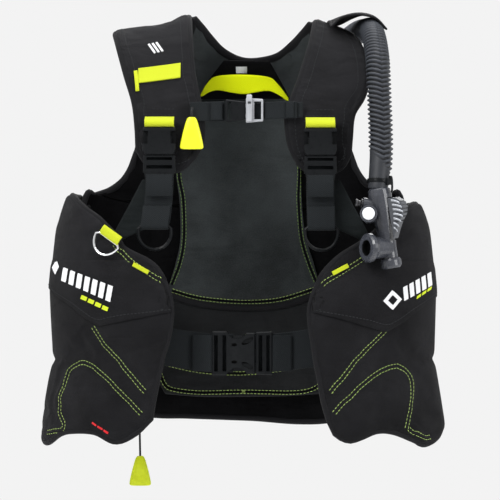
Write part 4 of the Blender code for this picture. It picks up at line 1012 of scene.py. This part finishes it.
def rear_panel():
    """The air cell's back panel, quilted by two seams."""
    rear = [(180 - angle_at(x, z, 0.0), z) for x, z in ARMHOLE]
    left = rear + [(100, 0.038), (107.5, -0.1), (115.5, -0.235)]
    right = [(360 - a, z) for a, z in left]
    top = [left[0], (180, 0.15), right[0]]
    hem = [left[-1], (150, -0.262), (165, -0.267), (180, -0.262), (195, -0.259), (210, -0.256), right[-1]]
    flat = patch(top, hem, left, right, 84, 48)
    offset = 0.011 * (np.abs(flat[..., 0] - 180) / 80) ** 3
    grid = on_body(flat[..., 0], flat[..., 1], offset)
    GRIDS["back"] = grid
    SEAMS["back"] = [curve_through([on_body(a + s * k, z, out) for k, z, out in QUILT], 60)
                     for a, s in ((152, -4), (208, 4))]
    MADE["back"] = pillow("air_cell_back_cloth", grid, 0.01, 0.011, 0.003, GREY_NYLON,
                          SEAMS["back"], cap=0.004, ripple=0.0012, inside_shaded=True)


def yoke():
    """The collar behind the neck."""
    left = mm("-66.2 -132 285.5, -72 -115 265, -96 -94 246, -122 -76 228, -138 -56 200, -134 -46 158")
    right = mm("91.5 -132 278.5, 97 -115 259, 110 -94 240, 130 -76 226, 142 -56 200, 134 -46 158")
    top = [left[0], *mm(
        "-56 -116 275, -45 -100 262.5, -30 -86 248, -8 -77 236.5, 15 -77 233.5, 46.5 -84 239.5, "
        "69 -100 255.5, 82 -118 268"), right[0]]
    bottom = [left[-1], *mm("-70 -32 156, 0 -30 156, 70 -32 156"), right[-1]]
    GRIDS["yoke"] = patch(top, bottom, left, right, 60, 26)[:, ::-1]
    pillow("yoke_cloth", GRIDS["yoke"], 0.0035, 0.0035, 0.0028, LIT_BACK_CLOTH, cap=0.0012,
           ripple=0.0006)


PAD_Y = -0.056


def at_depth(points, y):
    """Points given by x and z at one depth; a third value sets a point back."""
    return [(x, y + sum(back), z) for x, z, *back in points]


PAD_SEAMS = {
    "left": mm("74.5 165, 77.5 86, 76.5 42, 80.5 -10, 90 -44, 101 -72"),
    "right": mm("-76.5 165, -88.5 86, -82.5 42, -81.5 -10, -87 -44, -98.5 -75"),
    "low": mm("-98 -83, -59 -93.5, 0 -98.5, 51 -95, 101 -80"),
    "lumbar_high": mm("-112 -183, -59 -194, 0 -197, 65 -190, 110 -181"),
    "lumbar_low": mm("-116 -192, -109 -211, -98 -219, -60 -223.5, 0 -222.5, 70 -223.5, 98 -218, 110 -207"),
}


def pad_on_back(name, edges, seams, columns, rows, look, cap, ripple):
    """A pad of the back, from its top, bottom, left and right edges given by x and z."""
    sewn = [curve_through(at_depth(PAD_SEAMS[k], PAD_Y), 50) for k in seams]
    grid = patch(*[at_depth(edge, PAD_Y) for edge in edges], columns, rows)
    MADE[name] = pillow(name + "_cloth", grid, 0.006, 0.006, 0.0025, look, sewn, cap=cap, ripple=ripple)


def back_pads():
    """The back cloth, and the lumbar pad below it."""
    left = mm("-80 176, -94 130, -93 81, -88 40, -87 -13, -94 -48, -105 -84")
    right = mm("78 176, 82 130, 80 81, 81 42, 86 -6, 98 -46, 108 -82")
    top = [left[0], (0.0, 0.178, 0.004), right[0]]
    low = [left[-1], *mm("-59 -98, 3 -103, 58 -99"), right[-1]]
    pad_on_back("back_pad", (top, low, left, right), ("left", "right", "low"), 40, 54, LIT_BACK_CLOTH,
                0.004, 0.0014)
    top = mm("-112 -91, -59 -106, 3 -111, 58 -107, 114 -89")
    left = [top[0], *mm("-122 -150, -122 -195, -108 -226")]
    right = [top[-1], *mm("120 -150, 120 -195, 106 -226")]
    low = [left[-1], (-0.05, -0.23), (0.05, -0.229), right[-1]]
    pad_on_back("lumbar_pad", (top, low, left, right), ("lumbar_high", "lumbar_low"), 48, 28, LUMBAR_CLOTH,
                0.0036, 0.0012)


def crowned(grid):
    """The pad's grid raised along its middle where it lies over the shoulder."""
    rows, cols = grid.shape[:2]
    across = np.sin(np.pi * np.linspace(0, 1, cols))[None, :]
    over = np.exp(-(((np.linspace(0, 1, rows) - 0.33) / 0.18) ** 2))[:, None]
    grid[..., 2] += 0.005 * across * over
    return grid


RIGHT_PAD_OUTER = mm(
    "-160 -44 216, -165 -58 238, -170 -88 256, -172 -132 262.5, -165 -180 242, -153 -209 203, "
    "-141 -224 165, -136.5 -231 132, -135 -233 103")
RIGHT_PAD_INNER = mm(
    "-84 -36 226, -82 -54 254, -73.5 -88 276, -71.5 -132 285, -69 -183 252, -65 -210 205, -57 -224 167, "
    "-52 -230 142, -53 -233 116, -62 -234 96")
RIGHT_PAD_TIP = mm("-122 -234 84, -100 -235 75, -80 -235 78")
LEFT_PAD_OUTER = mm(
    "146 -44 214, 146 -58 234, 146 -88 253, 147 -132 260.5, 159 -172 236, 163 -200 205, 158 -216 176, "
    "143 -226 150, 139 -231 120, 137 -233 98")
LEFT_PAD_INNER = mm(
    "94 -36 224, 96 -54 250, 97.5 -88 271, 96.5 -132 278.5, 89 -183 244, 75 -212 198, 61 -226 160, "
    "57 -230 142, 61 -233 110, 74 -234 84")
LEFT_PAD_TIP = mm("128 -234 80, 110 -235 72, 90 -235 73")
SHOULDER_EDGES = {  # outer edge, inner edge and the points between them at the lower end
    "right": (RIGHT_PAD_OUTER, RIGHT_PAD_INNER, RIGHT_PAD_TIP),
    "left": (LEFT_PAD_OUTER, LEFT_PAD_INNER, LEFT_PAD_TIP),
}


def shoulder_pads():
    """The two pads over the shoulders."""
    for word, (outer, inner, tip) in SHOULDER_EDGES.items():
        grid = crowned(patch([outer[0], inner[0]], [outer[-1], *tip, inner[-1]], outer, inner, 22, 72))
        grid = side_out(grid, 1 if word == "right" else -1)
        GRIDS["pad_" + word] = grid
        MADE["pad_" + word] = pillow(f"shoulder_pad_{word}_cloth", grid, 0.007, 0.007, 0.0035, BLACK_NYLON,
                                     cap=0.003, ripple=0.0009)


def thin_panel(name, grid, thick, look, stands_for, ripple=0.0008):
    """A single layer of cloth on a grid, made as a thin closed panel."""
    n = outward(grid)
    wave = ripples(grid.reshape(-1, 3), 0.03, len(name)).reshape(*grid.shape[:2], 1) * ripple
    made = two_layers(name, grid, grid + n * (thick / 2 + wave), grid - n * (thick / 2 - wave), look)
    place(made, ROOT, (stands_for,))


def strap_wings():
    """The cloth wing between each shoulder strap and its lobe."""
    for side, word, shift in ((-1, "right", 0.0), (1, "left", -0.004)):
        def at(x, y, z):
            return (side * (x + shift), y, z)

        top = [at(0.13, -0.2315, 0.064), at(0.1, -0.2325, 0.064)]
        outer = [top[0], at(0.148, -0.229, 0.03), at(0.166, -0.222, -0.003), at(0.17, -0.2195, -0.02)]
        inner = [top[-1], at(0.097, -0.2335, 0.03), at(0.096, -0.2345, 0.012)]
        low = [outer[-1], at(0.14, -0.228, -0.006), inner[-1]]
        grid = side_out(patch(top, low, outer, inner, 16, 24), -side)
        GRIDS["wing_" + word] = grid
        thin_panel(f"strap_wing_{word}_cloth", grid, 0.0014, GREY_NYLON, f"strap_wing_{word}")


def hose_cover():
    """The flap over the hose at the left shoulder."""
    near = mm("118 -172 269, 130 -172 280, 147 -172 284.5, 162 -172 284, 177.5 -172 279, 189.5 -174 266")
    far = mm("114 -108 276, 130 -104 279, 148 -102 288, 163 -102 292.5, 178.5 -102 289, 188.5 -104 276.5")
    grid = patch(far, near, [far[0], (0.115, -0.14, 0.279), near[0]], [far[-1], near[-1]], 40, 20)
    GRIDS["hose_cover"] = grid
    thin_panel("hose_flap_cloth", grid, 0.0018, BLACK_NYLON, "hose_cover", 0.0005)


def handle_panel():
    """The dark panel behind the lifting handle."""
    y = -0.0815
    high = [(x, y - 0.45 * (z - 0.176), z) for x, z in ((-0.026, 0.23), (0.036, 0.229))]
    left = [high[0], (-0.05, y - 0.01, 0.2), (-0.06, y, 0.18)]
    right = [high[1], (0.053, y - 0.01, 0.2), (0.064, y, 0.18)]
    grid = patch(high, [left[-1], (0.002, y, 0.18), right[-1]], left, right, 24, 16)
    thin_panel("handle_panel_cloth", grid, 0.0022, DEEP_CLOTH, "handle_panel", 0.0003)


# ---------------------------------------------------------------- seams, bindings and prints


def face_line(word, key, count=70):
    """A seam of a pocket, on the pocket's face."""
    return curve_through(on_front(SEAMS[word][key], POCKET_FACE), count)


def seam_fold(name, spots, normals, look, width):
    """The dark folded edge of cloth that shows between two rows of stitches."""
    side = np.cross(normals, directions(spots))
    side /= np.linalg.norm(side, axis=1, keepdims=True)
    made = sweep(name, spots + normals * 0.0001, side, normals, strap_section(width, 0.0009), look)
    place(made)


def double_row(name, skin, line, look, gap=0.0052, along=None, fold=BINDING, fold_width=0.0022):
    """Two rows of thread with the folded edge of the cloth between them."""
    spots, normals = skin.line(line, 0.0, along)
    stitches(name, beside(spots, gap, normals), skin, look)
    seam_fold(name.replace("stitches", "fold"), spots, normals, fold, fold_width)


def yoke_tape():
    """The tape that joins the yoke's lower edge to the top of the back cell, inside both cloths."""
    path = [(x, y, 0.1535) for x, y in YOKE_TAPE]
    dark_strap("yoke_tape", path, UP, 0.015, 0.0042, count=40)


PIPING = (0.0075, 0.0085)  # across the edge and through it
PAD_TAPE = (0.0105, 0.0092)


def pocket_seams():
    """Each pocket's double rows of thread, its flap and the piping round it."""
    for side, word, *_ in SIDES:
        skin = Skin(MADE["pocket_" + word])
        for key in SEAMS[word]:
            if key != "flap":
                double_row(f"stitches_{key}_{word}", skin, face_line(word, key), THREAD)
        pocket_flap(word, skin)
        inner, outer = ("right", "left") if side < 0 else ("left", "right")
        for part, tag, *size in (("top", "top", 0.0085, 0.008), (inner, "inner", *PIPING),
                                 ("bottom", "hem", *PIPING), (outer, "side", *PIPING)):
            grid = GRIDS["pocket_" + word]
            bind(f"pocket_piping_{tag}_{word}", grid, (part,), 0.0012, *size, BINDING, "black_nylon")


def onto_front(skin, angle, z, lift=0.0):
    """(place, normal) on a surface straight inwards from a point outside the pockets."""
    spot = on_body(angle, z, POCKET_FACE + 0.02)
    inward = np.array([-spot[0], -(spot[1] - BODY_CENTRE_Y), 0.0])
    return skin.drop(spot, lift, inward / np.linalg.norm(inward))


def pocket_flap(word, skin):
    """The pocket's flap: a second layer of cloth whose lower edge comes to a blunt point."""
    rows, cols = 20, 90
    seam = np.array(sorted(SEAMS[word]["top"]))
    grid, normals = np.zeros((rows, cols, 3)), np.zeros((rows, cols, 3))
    for j, (x, _, low_z) in enumerate(face_line(word, "flap", cols)):
        top_z = min(-0.04, np.interp(x, seam[:, 0], seam[:, 1]) - 0.0085)
        angle = angle_at(x, low_z, POCKET_FACE)
        for i, t in enumerate(np.linspace(0, 1, rows)):
            at, normal = onto_front(skin, angle, top_z + (low_z - top_z) * t)
            grid[i, j], normals[i, j] = at + normal * (0.0002 + 0.0016 * min(1.0, t / 0.25)), normal
    made = two_layers(f"pocket_flap_{word}", grid, grid, grid - normals * 0.0016, BLACK_NYLON)
    MADE["flap_" + word] = place(made)
    stitches(f"flap_stitches_{word}", [grid[-3]], Skin(made), DARK_THREAD)


def pad_seams():
    """The double rows of thread on the back cloth and the lumbar pad."""
    for pad, keys, gap, fold in (("back_pad", ("left", "right", "low"), 0.0052, 0.003),
                                 ("lumbar_pad", ("lumbar_high", "lumbar_low"), 0.0048, 0.0028)):
        skin = Skin(MADE[pad])
        for key in keys:
            name = "stitches_" + (key if "lumbar" in key else "back_" + key)
            line = curve_through(at_depth(PAD_SEAMS[key], PAD_Y - 0.03), 90)
            look = DIM_THREAD if key in ("left", "right") else THREAD
            double_row(name, skin, line, look, gap, STRAIGHT_BACK, DEEP_CLOTH, fold)


def bindings():
    """Tape sewn round the open edges of the pads, collar, back and gussets."""
    for word in ("right", "left"):
        grid = GRIDS["pad_" + word]
        front = ("left", "bottom", "-right")
        bind(f"shoulder_binding_{word}", grid, front, 0.002, *PAD_TAPE)
        bind(f"shoulder_binding_rear_{word}", grid, ("top",), 0.002, *PAD_TAPE)
        skin = Skin(MADE["pad_" + word])
        row, normals = rim_line(grid, front, PAD_TAPE[0])
        spots, _ = skin.line(row + normals * 0.02)
        stitches(f"shoulder_binding_stitches_{word}", [spots], skin, DARK_THREAD)
        outer = "right" if word == "left" else "left"
        bind(f"wing_binding_{word}", GRIDS["wing_" + word], (outer,), 0.001, 0.0045, 0.0024, GREY_NYLON,
             "grey_nylon")
    bind("collar_binding", GRIDS["yoke"], ("top",), 0.003, 0.012, 0.0078)
    for part in ("left", "right"):
        bind(f"yoke_binding_{part}", GRIDS["yoke"], (part,), 0.002, 0.009, 0.0076)
    for part in ("left", "right", "top", "bottom"):
        bind(f"back_binding_{part}", GRIDS["back"], (part,), 0.002, 0.01, 0.0085)
    bind("hose_flap_binding", GRIDS["hose_cover"], ("left", "bottom", "-right", "-top"), 0.0008, 0.005,
         0.0032)


def back_seams():
    """The quilting thread of the back panel."""
    skin = Skin(MADE["back"])
    for k, line in enumerate(SEAMS["back"]):
        spots, normals = skin.line(line + np.array((0, 0.04, 0)), 0.0, (0, -1, 0))
        stitches(f"back_quilt_{k}", beside(spots, 0.0052, normals), skin, DARK_THREAD)


def print_on(shape, skin, lift):
    """(points, faces) of a thin printed patch: an outline of (x, z) points laid on the front of a panel."""
    centre = np.mean(shape, axis=0)
    outline = evenly(np.vstack([shape, shape[:1]]), 4 * len(shape) + 1)[:-1]
    levels = (1.0, 0.66, 0.33)
    points = [onto_front(skin, angle_at(x, z, POCKET_FACE), z, lift)[0]
              for t in levels for x, z in centre + (outline - centre) * t]
    return points, ring_faces(len(levels), len(outline), start_cap=False)


def joined_prints(name, shapes, skin, look, lift=0.0009):
    """Printed patches made as one piece."""
    points, faces = [], []
    for shape in shapes:
        p, f = print_on(np.array(shape, float), skin, lift)
        faces += [tuple(i + len(points) for i in face) for face in f]
        points += p
    place(mesh_object(name, points, faces, look))


def slanted_bars(count, start, step, wide, high, slope, lean=0.15, grow=0.0):
    """A row of parallelograms whose base lines fall by slope along x."""
    bars = []
    for k in range(count):
        x, z, tall = start[0] + step[0] * k, start[1] + step[1] * k, high + grow * k
        bars.append([(x, z), (x + wide, z + slope * wide), (x + wide + lean * tall, z + slope * wide + tall),
                     (x + lean * tall, z + tall)])
    return bars


def prints():
    """Plain bars in place of lettering, with a short bright stripe below."""
    skin = Skin(MADE["flap_right"])
    mark = mm("-250.5 -50, -245.5 -59.5, -240.5 -49, -245.5 -39.5")
    bars = slanted_bars(7, (-0.237, -0.0668), (0.0096, -0.004), 0.0064, 0.0175, -0.38, grow=0.0004)
    joined_prints("print_bars_right", [mark] + bars, skin, PRINT)
    stripe = slanted_bars(4, (-0.212, -0.0895), (0.0092, -0.0042), 0.0074, 0.005, -0.42, 0.4)
    joined_prints("print_stripe_right", stripe, skin, LIME_PRINT)
    skin = Skin(MADE["flap_left"])
    diamond = mm("184 -92, 196 -104, 208 -90, 196 -78")
    small = mm("190 -91.5, 196 -97.5, 202 -90.5, 196 -84.5")
    bars = slanted_bars(5, (0.211, -0.0925), (0.008, 0.0042), 0.0056, 0.0175, 0.5, -0.1)
    joined_prints("print_bars_left", [diamond] + bars, skin, PRINT)
    stripe = slanted_bars(3, (0.227, -0.0905), (0.0072, 0.0044), 0.0056, 0.004, 0.6, 0.2)
    joined_prints("print_stripe_left", stripe, skin, LIME_PRINT)
    joined_prints("print_diamond_left", [small], skin, BLACK_NYLON, lift=0.0014)


# ---------------------------------------------------------------- webbing


def shoulder_webbing():
    """Both shoulders' straps: down through the buckle, round the ring and back, and the bright anchor."""
    for word, (x, y, z) in BUCKLES.items():
        lean = -0.004 if word == "right" else 0.001

        def route(*spots):
            return [(x + side * lean, y + deep, z + rise) for side, deep, rise in spots]

        x_way = (1, 0, 0)
        down = route((0, 0.0052, 0.0935), (0, 0.0052, 0.06), (0.3, 0.0062, 0.04), (1, 0.0075, 0.014),
                     (1.5, 0.007, 0.0045))
        dark_strap(f"webbing_down_{word}", down, x_way, 0.036, 0.002, ROOT, 30, (f"shoulder_webbing_{word}",))
        loop = route((0.9, 0.0045, 0.03), (1.2, 0.001, 0.018), (1.6, 0.0, 0.008), (1.6, 0.0004, 0.0018),
                     (1.6, 0.004, -0.0002), (1.6, 0.0076, 0.0025), (1.6, 0.0078, 0.01))
        dark_strap(f"webbing_fold_{word}", loop, x_way, 0.0355, count=36)
        anchor = route((0, 0.0045, 0.1316), (0, -0.0045, 0.1324), (0, -0.0078, 0.1346), (0, -0.0072, 0.1378),
                       (0, -0.004, 0.1402), (0, 0.0015, 0.1415), (0, 0.0056, 0.144))
        bright_strap(f"buckle_loop_{word}", anchor, x_way, 0.038, 0.0024, 36, (f"buckle_anchor_{word}",))
        tail = route((0, -0.0045, 0.07), (0, -0.0056, 0.06), (0, -0.0048, 0.05), (0, -0.0022, 0.042))
        dark_strap(f"webbing_tail_{word}", tail, x_way, 0.034, body=f"plug_{word}")


def waist_webbing():
    """The waist belt, and its turn through each half of the buckle."""
    for side, word in ((-1, "right"), (1, "left")):
        spots = [(side * x, WAIST_Y + 0.0067, WAIST_Z) for x in (0.012, 0.04)]
        for angle, z in ((24, -0.155), (38, -0.149), (55, -0.141), (75, -0.132), (95, -0.125)):
            x, y, z = on_body(side * angle, z, BELT_OFFSET)
            spots.append((x, max(y, WAIST_Y + 0.0072), z))
        dark_strap(f"waist_web_{word}", spots, UP, 0.05, 0.0021, ROOT, 60, (f"waist_webbing_{word}",))
        end = 0.036 if side < 0 else 0.034
        turn = [(side * (end + out), WAIST_Y + deep, WAIST_Z)
                for out, deep in ((0.03, 0.003), (0.006, -0.0022), (0.0015, -0.001))]
        body = ROOT if side < 0 else "waist_plug"
        dark_strap(f"waist_web_turn_{word}", turn, UP, 0.047, body=body, count=12)


CHEST_STRAPS = {  # route from the buckle's centre, then dark_strap's other arguments
    "chest_web_right": (
        mm("-20 5.2 0, -40 5.2 -0.3, -68 2.2 -1"), UP, 0.025, 0.0021, ROOT, 24, ("chest_webbing_right",)),
    "chest_web_left": (
        mm("10 5.2 0, 45 5.5 1, 78 3.1 1.5"), UP, 0.02, 0.0021, ROOT, 24, ("chest_webbing_left",)),
    "chest_web_tail": (
        mm("28.5 2 0, 34 -0.4 0.4, 50 -0.1 1, 70 -0.1 1.2"), UP, 0.022, 0.002, "chest_plug", 24),
    "chest_keeper": (mm("61 -2.2 11.8, 61 -2.6 0, 61 -2.2 -9.5"), (1, 0, 0), 0.01, 0.0016, ROOT, 10),
    "chest_web_fold": (mm("-41 1.4 0, -34 -0.2 0, -26 1 0"), UP, 0.024, 0.0018, ROOT, 10),
}


def chest_webbing():
    """The chest strap, its loose end and keeper."""
    for name, (route, *rest) in CHEST_STRAPS.items():
        dark_strap(name, [(x, CHEST_Y + y, CHEST_Z + z) for x, y, z in route], *rest)


HANDLE_ROUTE = mm(
    "-57 -90 184, -44 -98.5 193.5, -22 -104 197.5, 3 -105 198.5, 28 -104 197, 49 -98.5 191.5, 61 -90 181")
HANDLE_TOP = mm("-57.5 185, -46 203, -34 209.5, 0 211, 34 208, 46 200, 62 179")
HANDLE_LOW = mm("-56 182.5, -45 188, -33 190, -15 186.5, 2 184.5, 18 187, 35 189, 48 184, 60 176.5")


def handle_webbing():
    """The lifting handle: padded webbing that narrows to its sewn ends, its lower edge a little wavy."""
    line = curve_through(HANDLE_ROUTE, 60)
    top, low = (np.interp(line[:, 0], *curve_through(edge, 60).T) for edge in (HANDLE_TOP, HANDLE_LOW))
    line[:, 2] = (top + low) / 2
    tilt = (0, -0.16, 0.98)
    up = unit_rows(np.cross(tilt, directions(line)))
    side = np.array(tilt) * (np.maximum(top - low, 0.0022) / 0.025)[:, None]
    made = sweep("handle_webbing", line, side, up, strap_section(0.025, 0.0034), HANDLE_WEB)
    place(made, "handle", ("grab_handle",))


def bright_webbing():
    """The bright band of the right shoulder, the handle, the pockets' small loops and the ring's tab."""
    skin = Skin(MADE["pad_right"])
    spots, _ = skin.straight_behind([(-0.1365, -0.3, 0.1995), (-0.081, -0.3, 0.2068)], 9, 0.0012)
    bright_strap("shoulder_loop_right", spots, (0, 0.45, 0.89), 0.0225, 0.002, 40, ("shoulder_band_right",))
    spots, _ = skin.straight_behind([(-0.14, -0.3, 0.206), (-0.1365, -0.3, 0.179)], 7, 0.0016)
    bright_strap("shoulder_loop_tab", spots, (0.97, 0, 0.13), 0.005, 0.0016, 14)
    handle_webbing()
    for side, word, *_ in SIDES:
        low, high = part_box(f"pocket_loop_{word}")
        middle, half = (low.z + high.z) / 2 + 0.0042, (high.z - low.z) / 2 - 0.004
        ends = [(x, low.y - 0.02, middle - side * half * way) for x, way in ((low.x, 1), (high.x, -1))]
        spots, normals = Skin(MADE["pocket_" + word]).straight_behind(ends, 5, 0.0012)
        across = np.cross(spots[-1] - spots[0], normals[2])
        bright_strap(f"small_loop_{word}", spots, across, 0.0056, 0.0016, 20, (f"pocket_loop_{word}",))
    ring_tab()


def small_details():
    """Red bar tack, blank size label, edging below the back pad, tacks and shoulder marks."""
    skin = Skin(MADE["pocket_right"])
    tack = slanted_bars(3, (-0.204, -0.249), (0.0072, -0.0046), 0.0058, 0.0026, -0.65, 0.5)
    joined_prints("bar_tack_red", tack, skin, RED_THREAD, 0.0007)
    low = mm("-110 -86.5, -59 -102, 3 -107, 58 -103, 112 -84.5")
    line = curve_through(at_depth(low, PAD_Y - 0.0005), 60)
    edging("back_pad_edging", line, fixed((0.0, -1.0, 0.0), line), 0.01, 0.0086)
    rows = [np.array([(x, -0.3, -0.2205 - 0.0011 * k) for x in (-0.0025, 0.0065)]) for k in range(4)]
    stitches("bar_tack_lumbar", rows, Skin(MADE["lumbar_pad"]), THREAD, STRAIGHT_BACK)
    label = [(-0.0095, -0.1012, 0.2175), (0.0055, -0.1012, 0.2175)]
    strap("size_label", label, (0, -0.42, 0.91), 0.0095, 0.0008, LABEL, "pad_cloth", ROOT, 3)
    for word, (x, _, z) in BUCKLES.items():
        skin = Skin(MADE["pad_" + word])
        for tag, rise in (("low", 0.1475), ("high", 0.1555)):
            spots, _ = skin.straight_behind([(x - 0.02, -0.3, z + rise), (x + 0.02, -0.3, z + rise)], 12)
            stitches(f"pad_tack_{tag}_{word}", [spots], skin, DARK_THREAD, STRAIGHT_BACK)
    skin = Skin(MADE["pad_right"])
    for k in range(3):
        along, up = 0.005 * k, 0.0012 * k
        ends = [(-0.124 + along, -0.3, 0.244 + up), (-0.115 + along, -0.3, 0.231 + up)]
        spots, _ = skin.straight_behind(ends, 4, 0.0006)
        strap(f"shoulder_mark_{k}", spots, (0.9, 0, 0.4), 0.003, 0.0008, PRINT, "pad_cloth", ROOT, 6)


MOUTH_OUT = np.array((-0.86, -0.51, 0.0))
LINER = ((0.0, 0.0103), (0.0076, 0.0103), (0.0076, 0.0095), (0.0012, 0.0095))  # distance along and radius


def mouth_liner():
    """The black rubber lining and valve disc inside the mouthpiece, near black and matt as painted shade of
    the bore.
    """
    low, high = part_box("mouthpiece")
    out = MOUTH_OUT / np.linalg.norm(MOUTH_OUT)
    side, up = np.array((-out[1], out[0], 0.0)), np.array((0, 0, 1.0))
    foot = (np.array(low) + np.array(high)) / 2 - out * 0.0036
    turn = 2 * math.pi * np.arange(28) / 28
    points = [foot + out * d + (side * math.cos(a) + up * math.sin(a)) * r for d, r in LINER for a in turn]
    made = mesh_object("mouth_liner", points, ring_faces(len(LINER), 28), VALVE_AND_BORE_SHADE, smooth=False)
    place(made, "inflator_arm")


KEY_TOP, KEY_DOWN, KEY_OUT = (0.1722, -0.2838, 0.056), (0.165, 0.0, -0.986), (0.86, -0.48, 0.0)
KEY_REACH = (0.015, 0.0172, 0.0178, 0.0165, 0.013, 0.009, 0.0058)  # how far each rib stands out


def key_ribs():
    """Curved grip ribs across the front of the deflate key."""
    down = np.array(KEY_DOWN) / np.linalg.norm(KEY_DOWN)
    out = np.array(KEY_OUT) - down * (np.array(KEY_OUT) @ down)
    out /= np.linalg.norm(out)
    across = np.cross(down, out)
    origin = np.array(KEY_TOP) + out * 0.014
    for k, reach in enumerate(KEY_REACH):
        start = 0.0222 + 0.0058 * k
        route = [origin + across * 0.0074 + out * (reach * t) + down * (start + 0.0052 * t * t)
                 for t in (0.24, 0.45, 0.7, 0.98)]
        strap(f"key_rib_{k}", route, down, 0.0026, 0.0012, KEY_PALE, "silver_plastic", "deflate_key", 12)


def ring_tab():
    """The folded bright tab that holds the steel ring on the right pocket."""
    spots = np.array([v.co for v in NODES["pocket_ring_tab"].data.vertices])
    centre = spots.mean(axis=0)
    along = np.linalg.svd(spots - centre)[2][0]
    along = along * np.sign(along[0])
    normal = np.array([-0.45, -0.89, 0.0])
    normal -= along * (normal @ along)
    normal /= np.linalg.norm(normal)
    down = np.cross(along, normal)
    down = -down if down[2] > 0 else down
    route = [centre + down * low + normal * out for low, out in
             ((-0.0055, -0.0004), (-0.002, 0.0014), (0.0035, 0.0018), (0.0062, 0.001), (0.007, -0.0008),
              (0.006, -0.0018))]
    bright_strap("ring_tab", route, along, 0.0308, 0.0019, 30, ("pocket_ring_tab",))


def cylinder_band():
    """The cylinder band's webbing, seen from above: flat on the backplate and round the cylinder."""
    half = mm("0 -9.2, 24 -9.2, 44 -8.8, 54.5 -3.5, 64 7.5, 79 33, 91.5 64")
    turn = np.radians(np.linspace(0, 180, 13))
    arc = [(BAND_RADIUS * math.cos(a), TANK_Y + BAND_RADIUS * math.sin(a)) for a in turn]
    loop = half + arc + [(-x, y) for x, y in half[:0:-1]] + [half[0]]
    dark_strap("cylinder_webbing", [(x, y, BAND_Z) for x, y in loop], UP, 0.05, 0.0022, ROOT, 160,
               ("cylinder_band",), True)


# ---------------------------------------------------------------- packed fittings


MOULDED = {
    "buckle_socket_right", "buckle_socket_left", "buckle_plug_right", "buckle_plug_left",
    "waist_buckle_socket", "waist_buckle_plug", "chest_buckle_socket", "chest_buckle_plug", "whistle",
    "backplate", "cam_frame", "cam_lever",
}
OWN_LOOKS = {
    "inflator_body": SOFT_PLASTIC, "mouthpiece": SOFT_PLASTIC, "inflator_cap": SOFT_PLASTIC,
    "inflator_inlet": DARK_METAL, "deflate_button": KEY_BASE, "inflate_button": PALE_PLASTIC,
}


def dress_fittings():
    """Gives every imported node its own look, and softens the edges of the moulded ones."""
    slots = {part["node"]: part["material_slot"] for part in frame["record"]["subparts"]}
    for made in NODES.values():
        look = OWN_LOOKS.get(made.name) or SLOT_LOOKS.get(slots.get(made.name), BLACK_PLASTIC)
        for slot in made.material_slots:
            slot.material = look
        if made.name in MOULDED:
            soft = made.modifiers.new("soft_edges", "BEVEL")
            soft.width = 0.0008
            soft.segments = 2
            soft.angle_limit = math.radians(35)


# ---------------------------------------------------------------- stage


def area_light(name, place_at, aim, size, power):
    """A rectangular lamp that the camera doesn't see."""
    lamp = bpy.data.lights.new(name, "AREA")
    lamp.shape = "RECTANGLE"
    lamp.size, lamp.size_y = size
    lamp.energy = power
    made = bpy.data.objects.new(name, lamp)
    made.location = place_at
    made.rotation_euler = (Vector(aim) - Vector(place_at)).to_track_quat("-Z", "Y").to_euler()
    made.visible_camera = False
    scene.collection.objects.link(made)


FLOOR_Z, FLOOR_RADIUS = -0.62, 1.3
LIGHTS = {  # place, aim, size and power
    "key": ((-1.5, -2.2, 1.8), (0, -0.1, 0), (1.2, 1.2), 74),
    "fill": ((1.9, -1.6, 0.6), (0, -0.1, 0), (0.7, 1.6), 26),
    "top": ((0.0, -0.2, 2.2), (0, -0.1, 0), (2.0, 1.4), 30),
    "rear": ((0.4, 2.2, 1.4), (0, 0, 0), (1.8, 1.4), 26),
}


def stage():
    """A white studio: pale walls, brighter in front, a floor well below the vest, and four lamps."""
    scene.view_settings.view_transform = "Standard"
    scene.view_settings.look = "None"
    scene.world = bpy.data.worlds.new("studio")
    scene.world.use_nodes = True
    tree = scene.world.node_tree
    front = add(tree, split(tree, node(tree, "TexCoord").outputs["Generated"])[1], 0.5)
    glow = ramp(tree, front, (0.7, 0.7, 0.7), (0.896, 0.896, 0.896), 0.0, 0.75)
    tree.links.new(glow, tree.nodes["Background"].inputs["Color"])
    tree.nodes["Background"].inputs["Strength"].default_value = 1.0
    mesh = bpy.data.meshes.new("floor")
    ring = [(FLOOR_RADIUS * math.cos(a), FLOOR_RADIUS * math.sin(a), FLOOR_Z)
            for a in np.linspace(0, 2 * math.pi, 65)[:-1]]
    mesh.from_pydata(ring, [], [tuple(range(64))])
    mesh.materials.append(surface("floor", (0.86, 0.86, 0.86), 0.7, 0.2)[0])
    floor = bpy.data.objects.new("floor", mesh)
    scene.collection.objects.link(floor)
    for name, light in LIGHTS.items():
        area_light(name, *light)


YOKE_TAPE = mm(
    "-132 -52, -120 -44.4, -100 -37.6, -80 -33.2, -60 -30.8, -30 -29.4, 0 -29.4, 30 -29.4, 60 -30.8, "
    "80 -33.5, 100 -37.6, 120 -44, 134 -53")  # across the back, seen from above


def build():
    """Every piece, in order."""
    camera()
    hose()
    pulls()
    front_panels()
    rear_panel()
    yoke()
    back_pads()
    shoulder_pads()
    blow_up()
    strap_wings()
    hose_cover()
    handle_panel()
    yoke_tape()
    pocket_seams()
    pad_seams()
    back_seams()
    bindings()
    prints()
    shoulder_webbing()
    waist_webbing()
    chest_webbing()
    bright_webbing()
    small_details()
    mouth_liner()
    key_ribs()
    cylinder_band()
    dress_fittings()
    stage()


build()
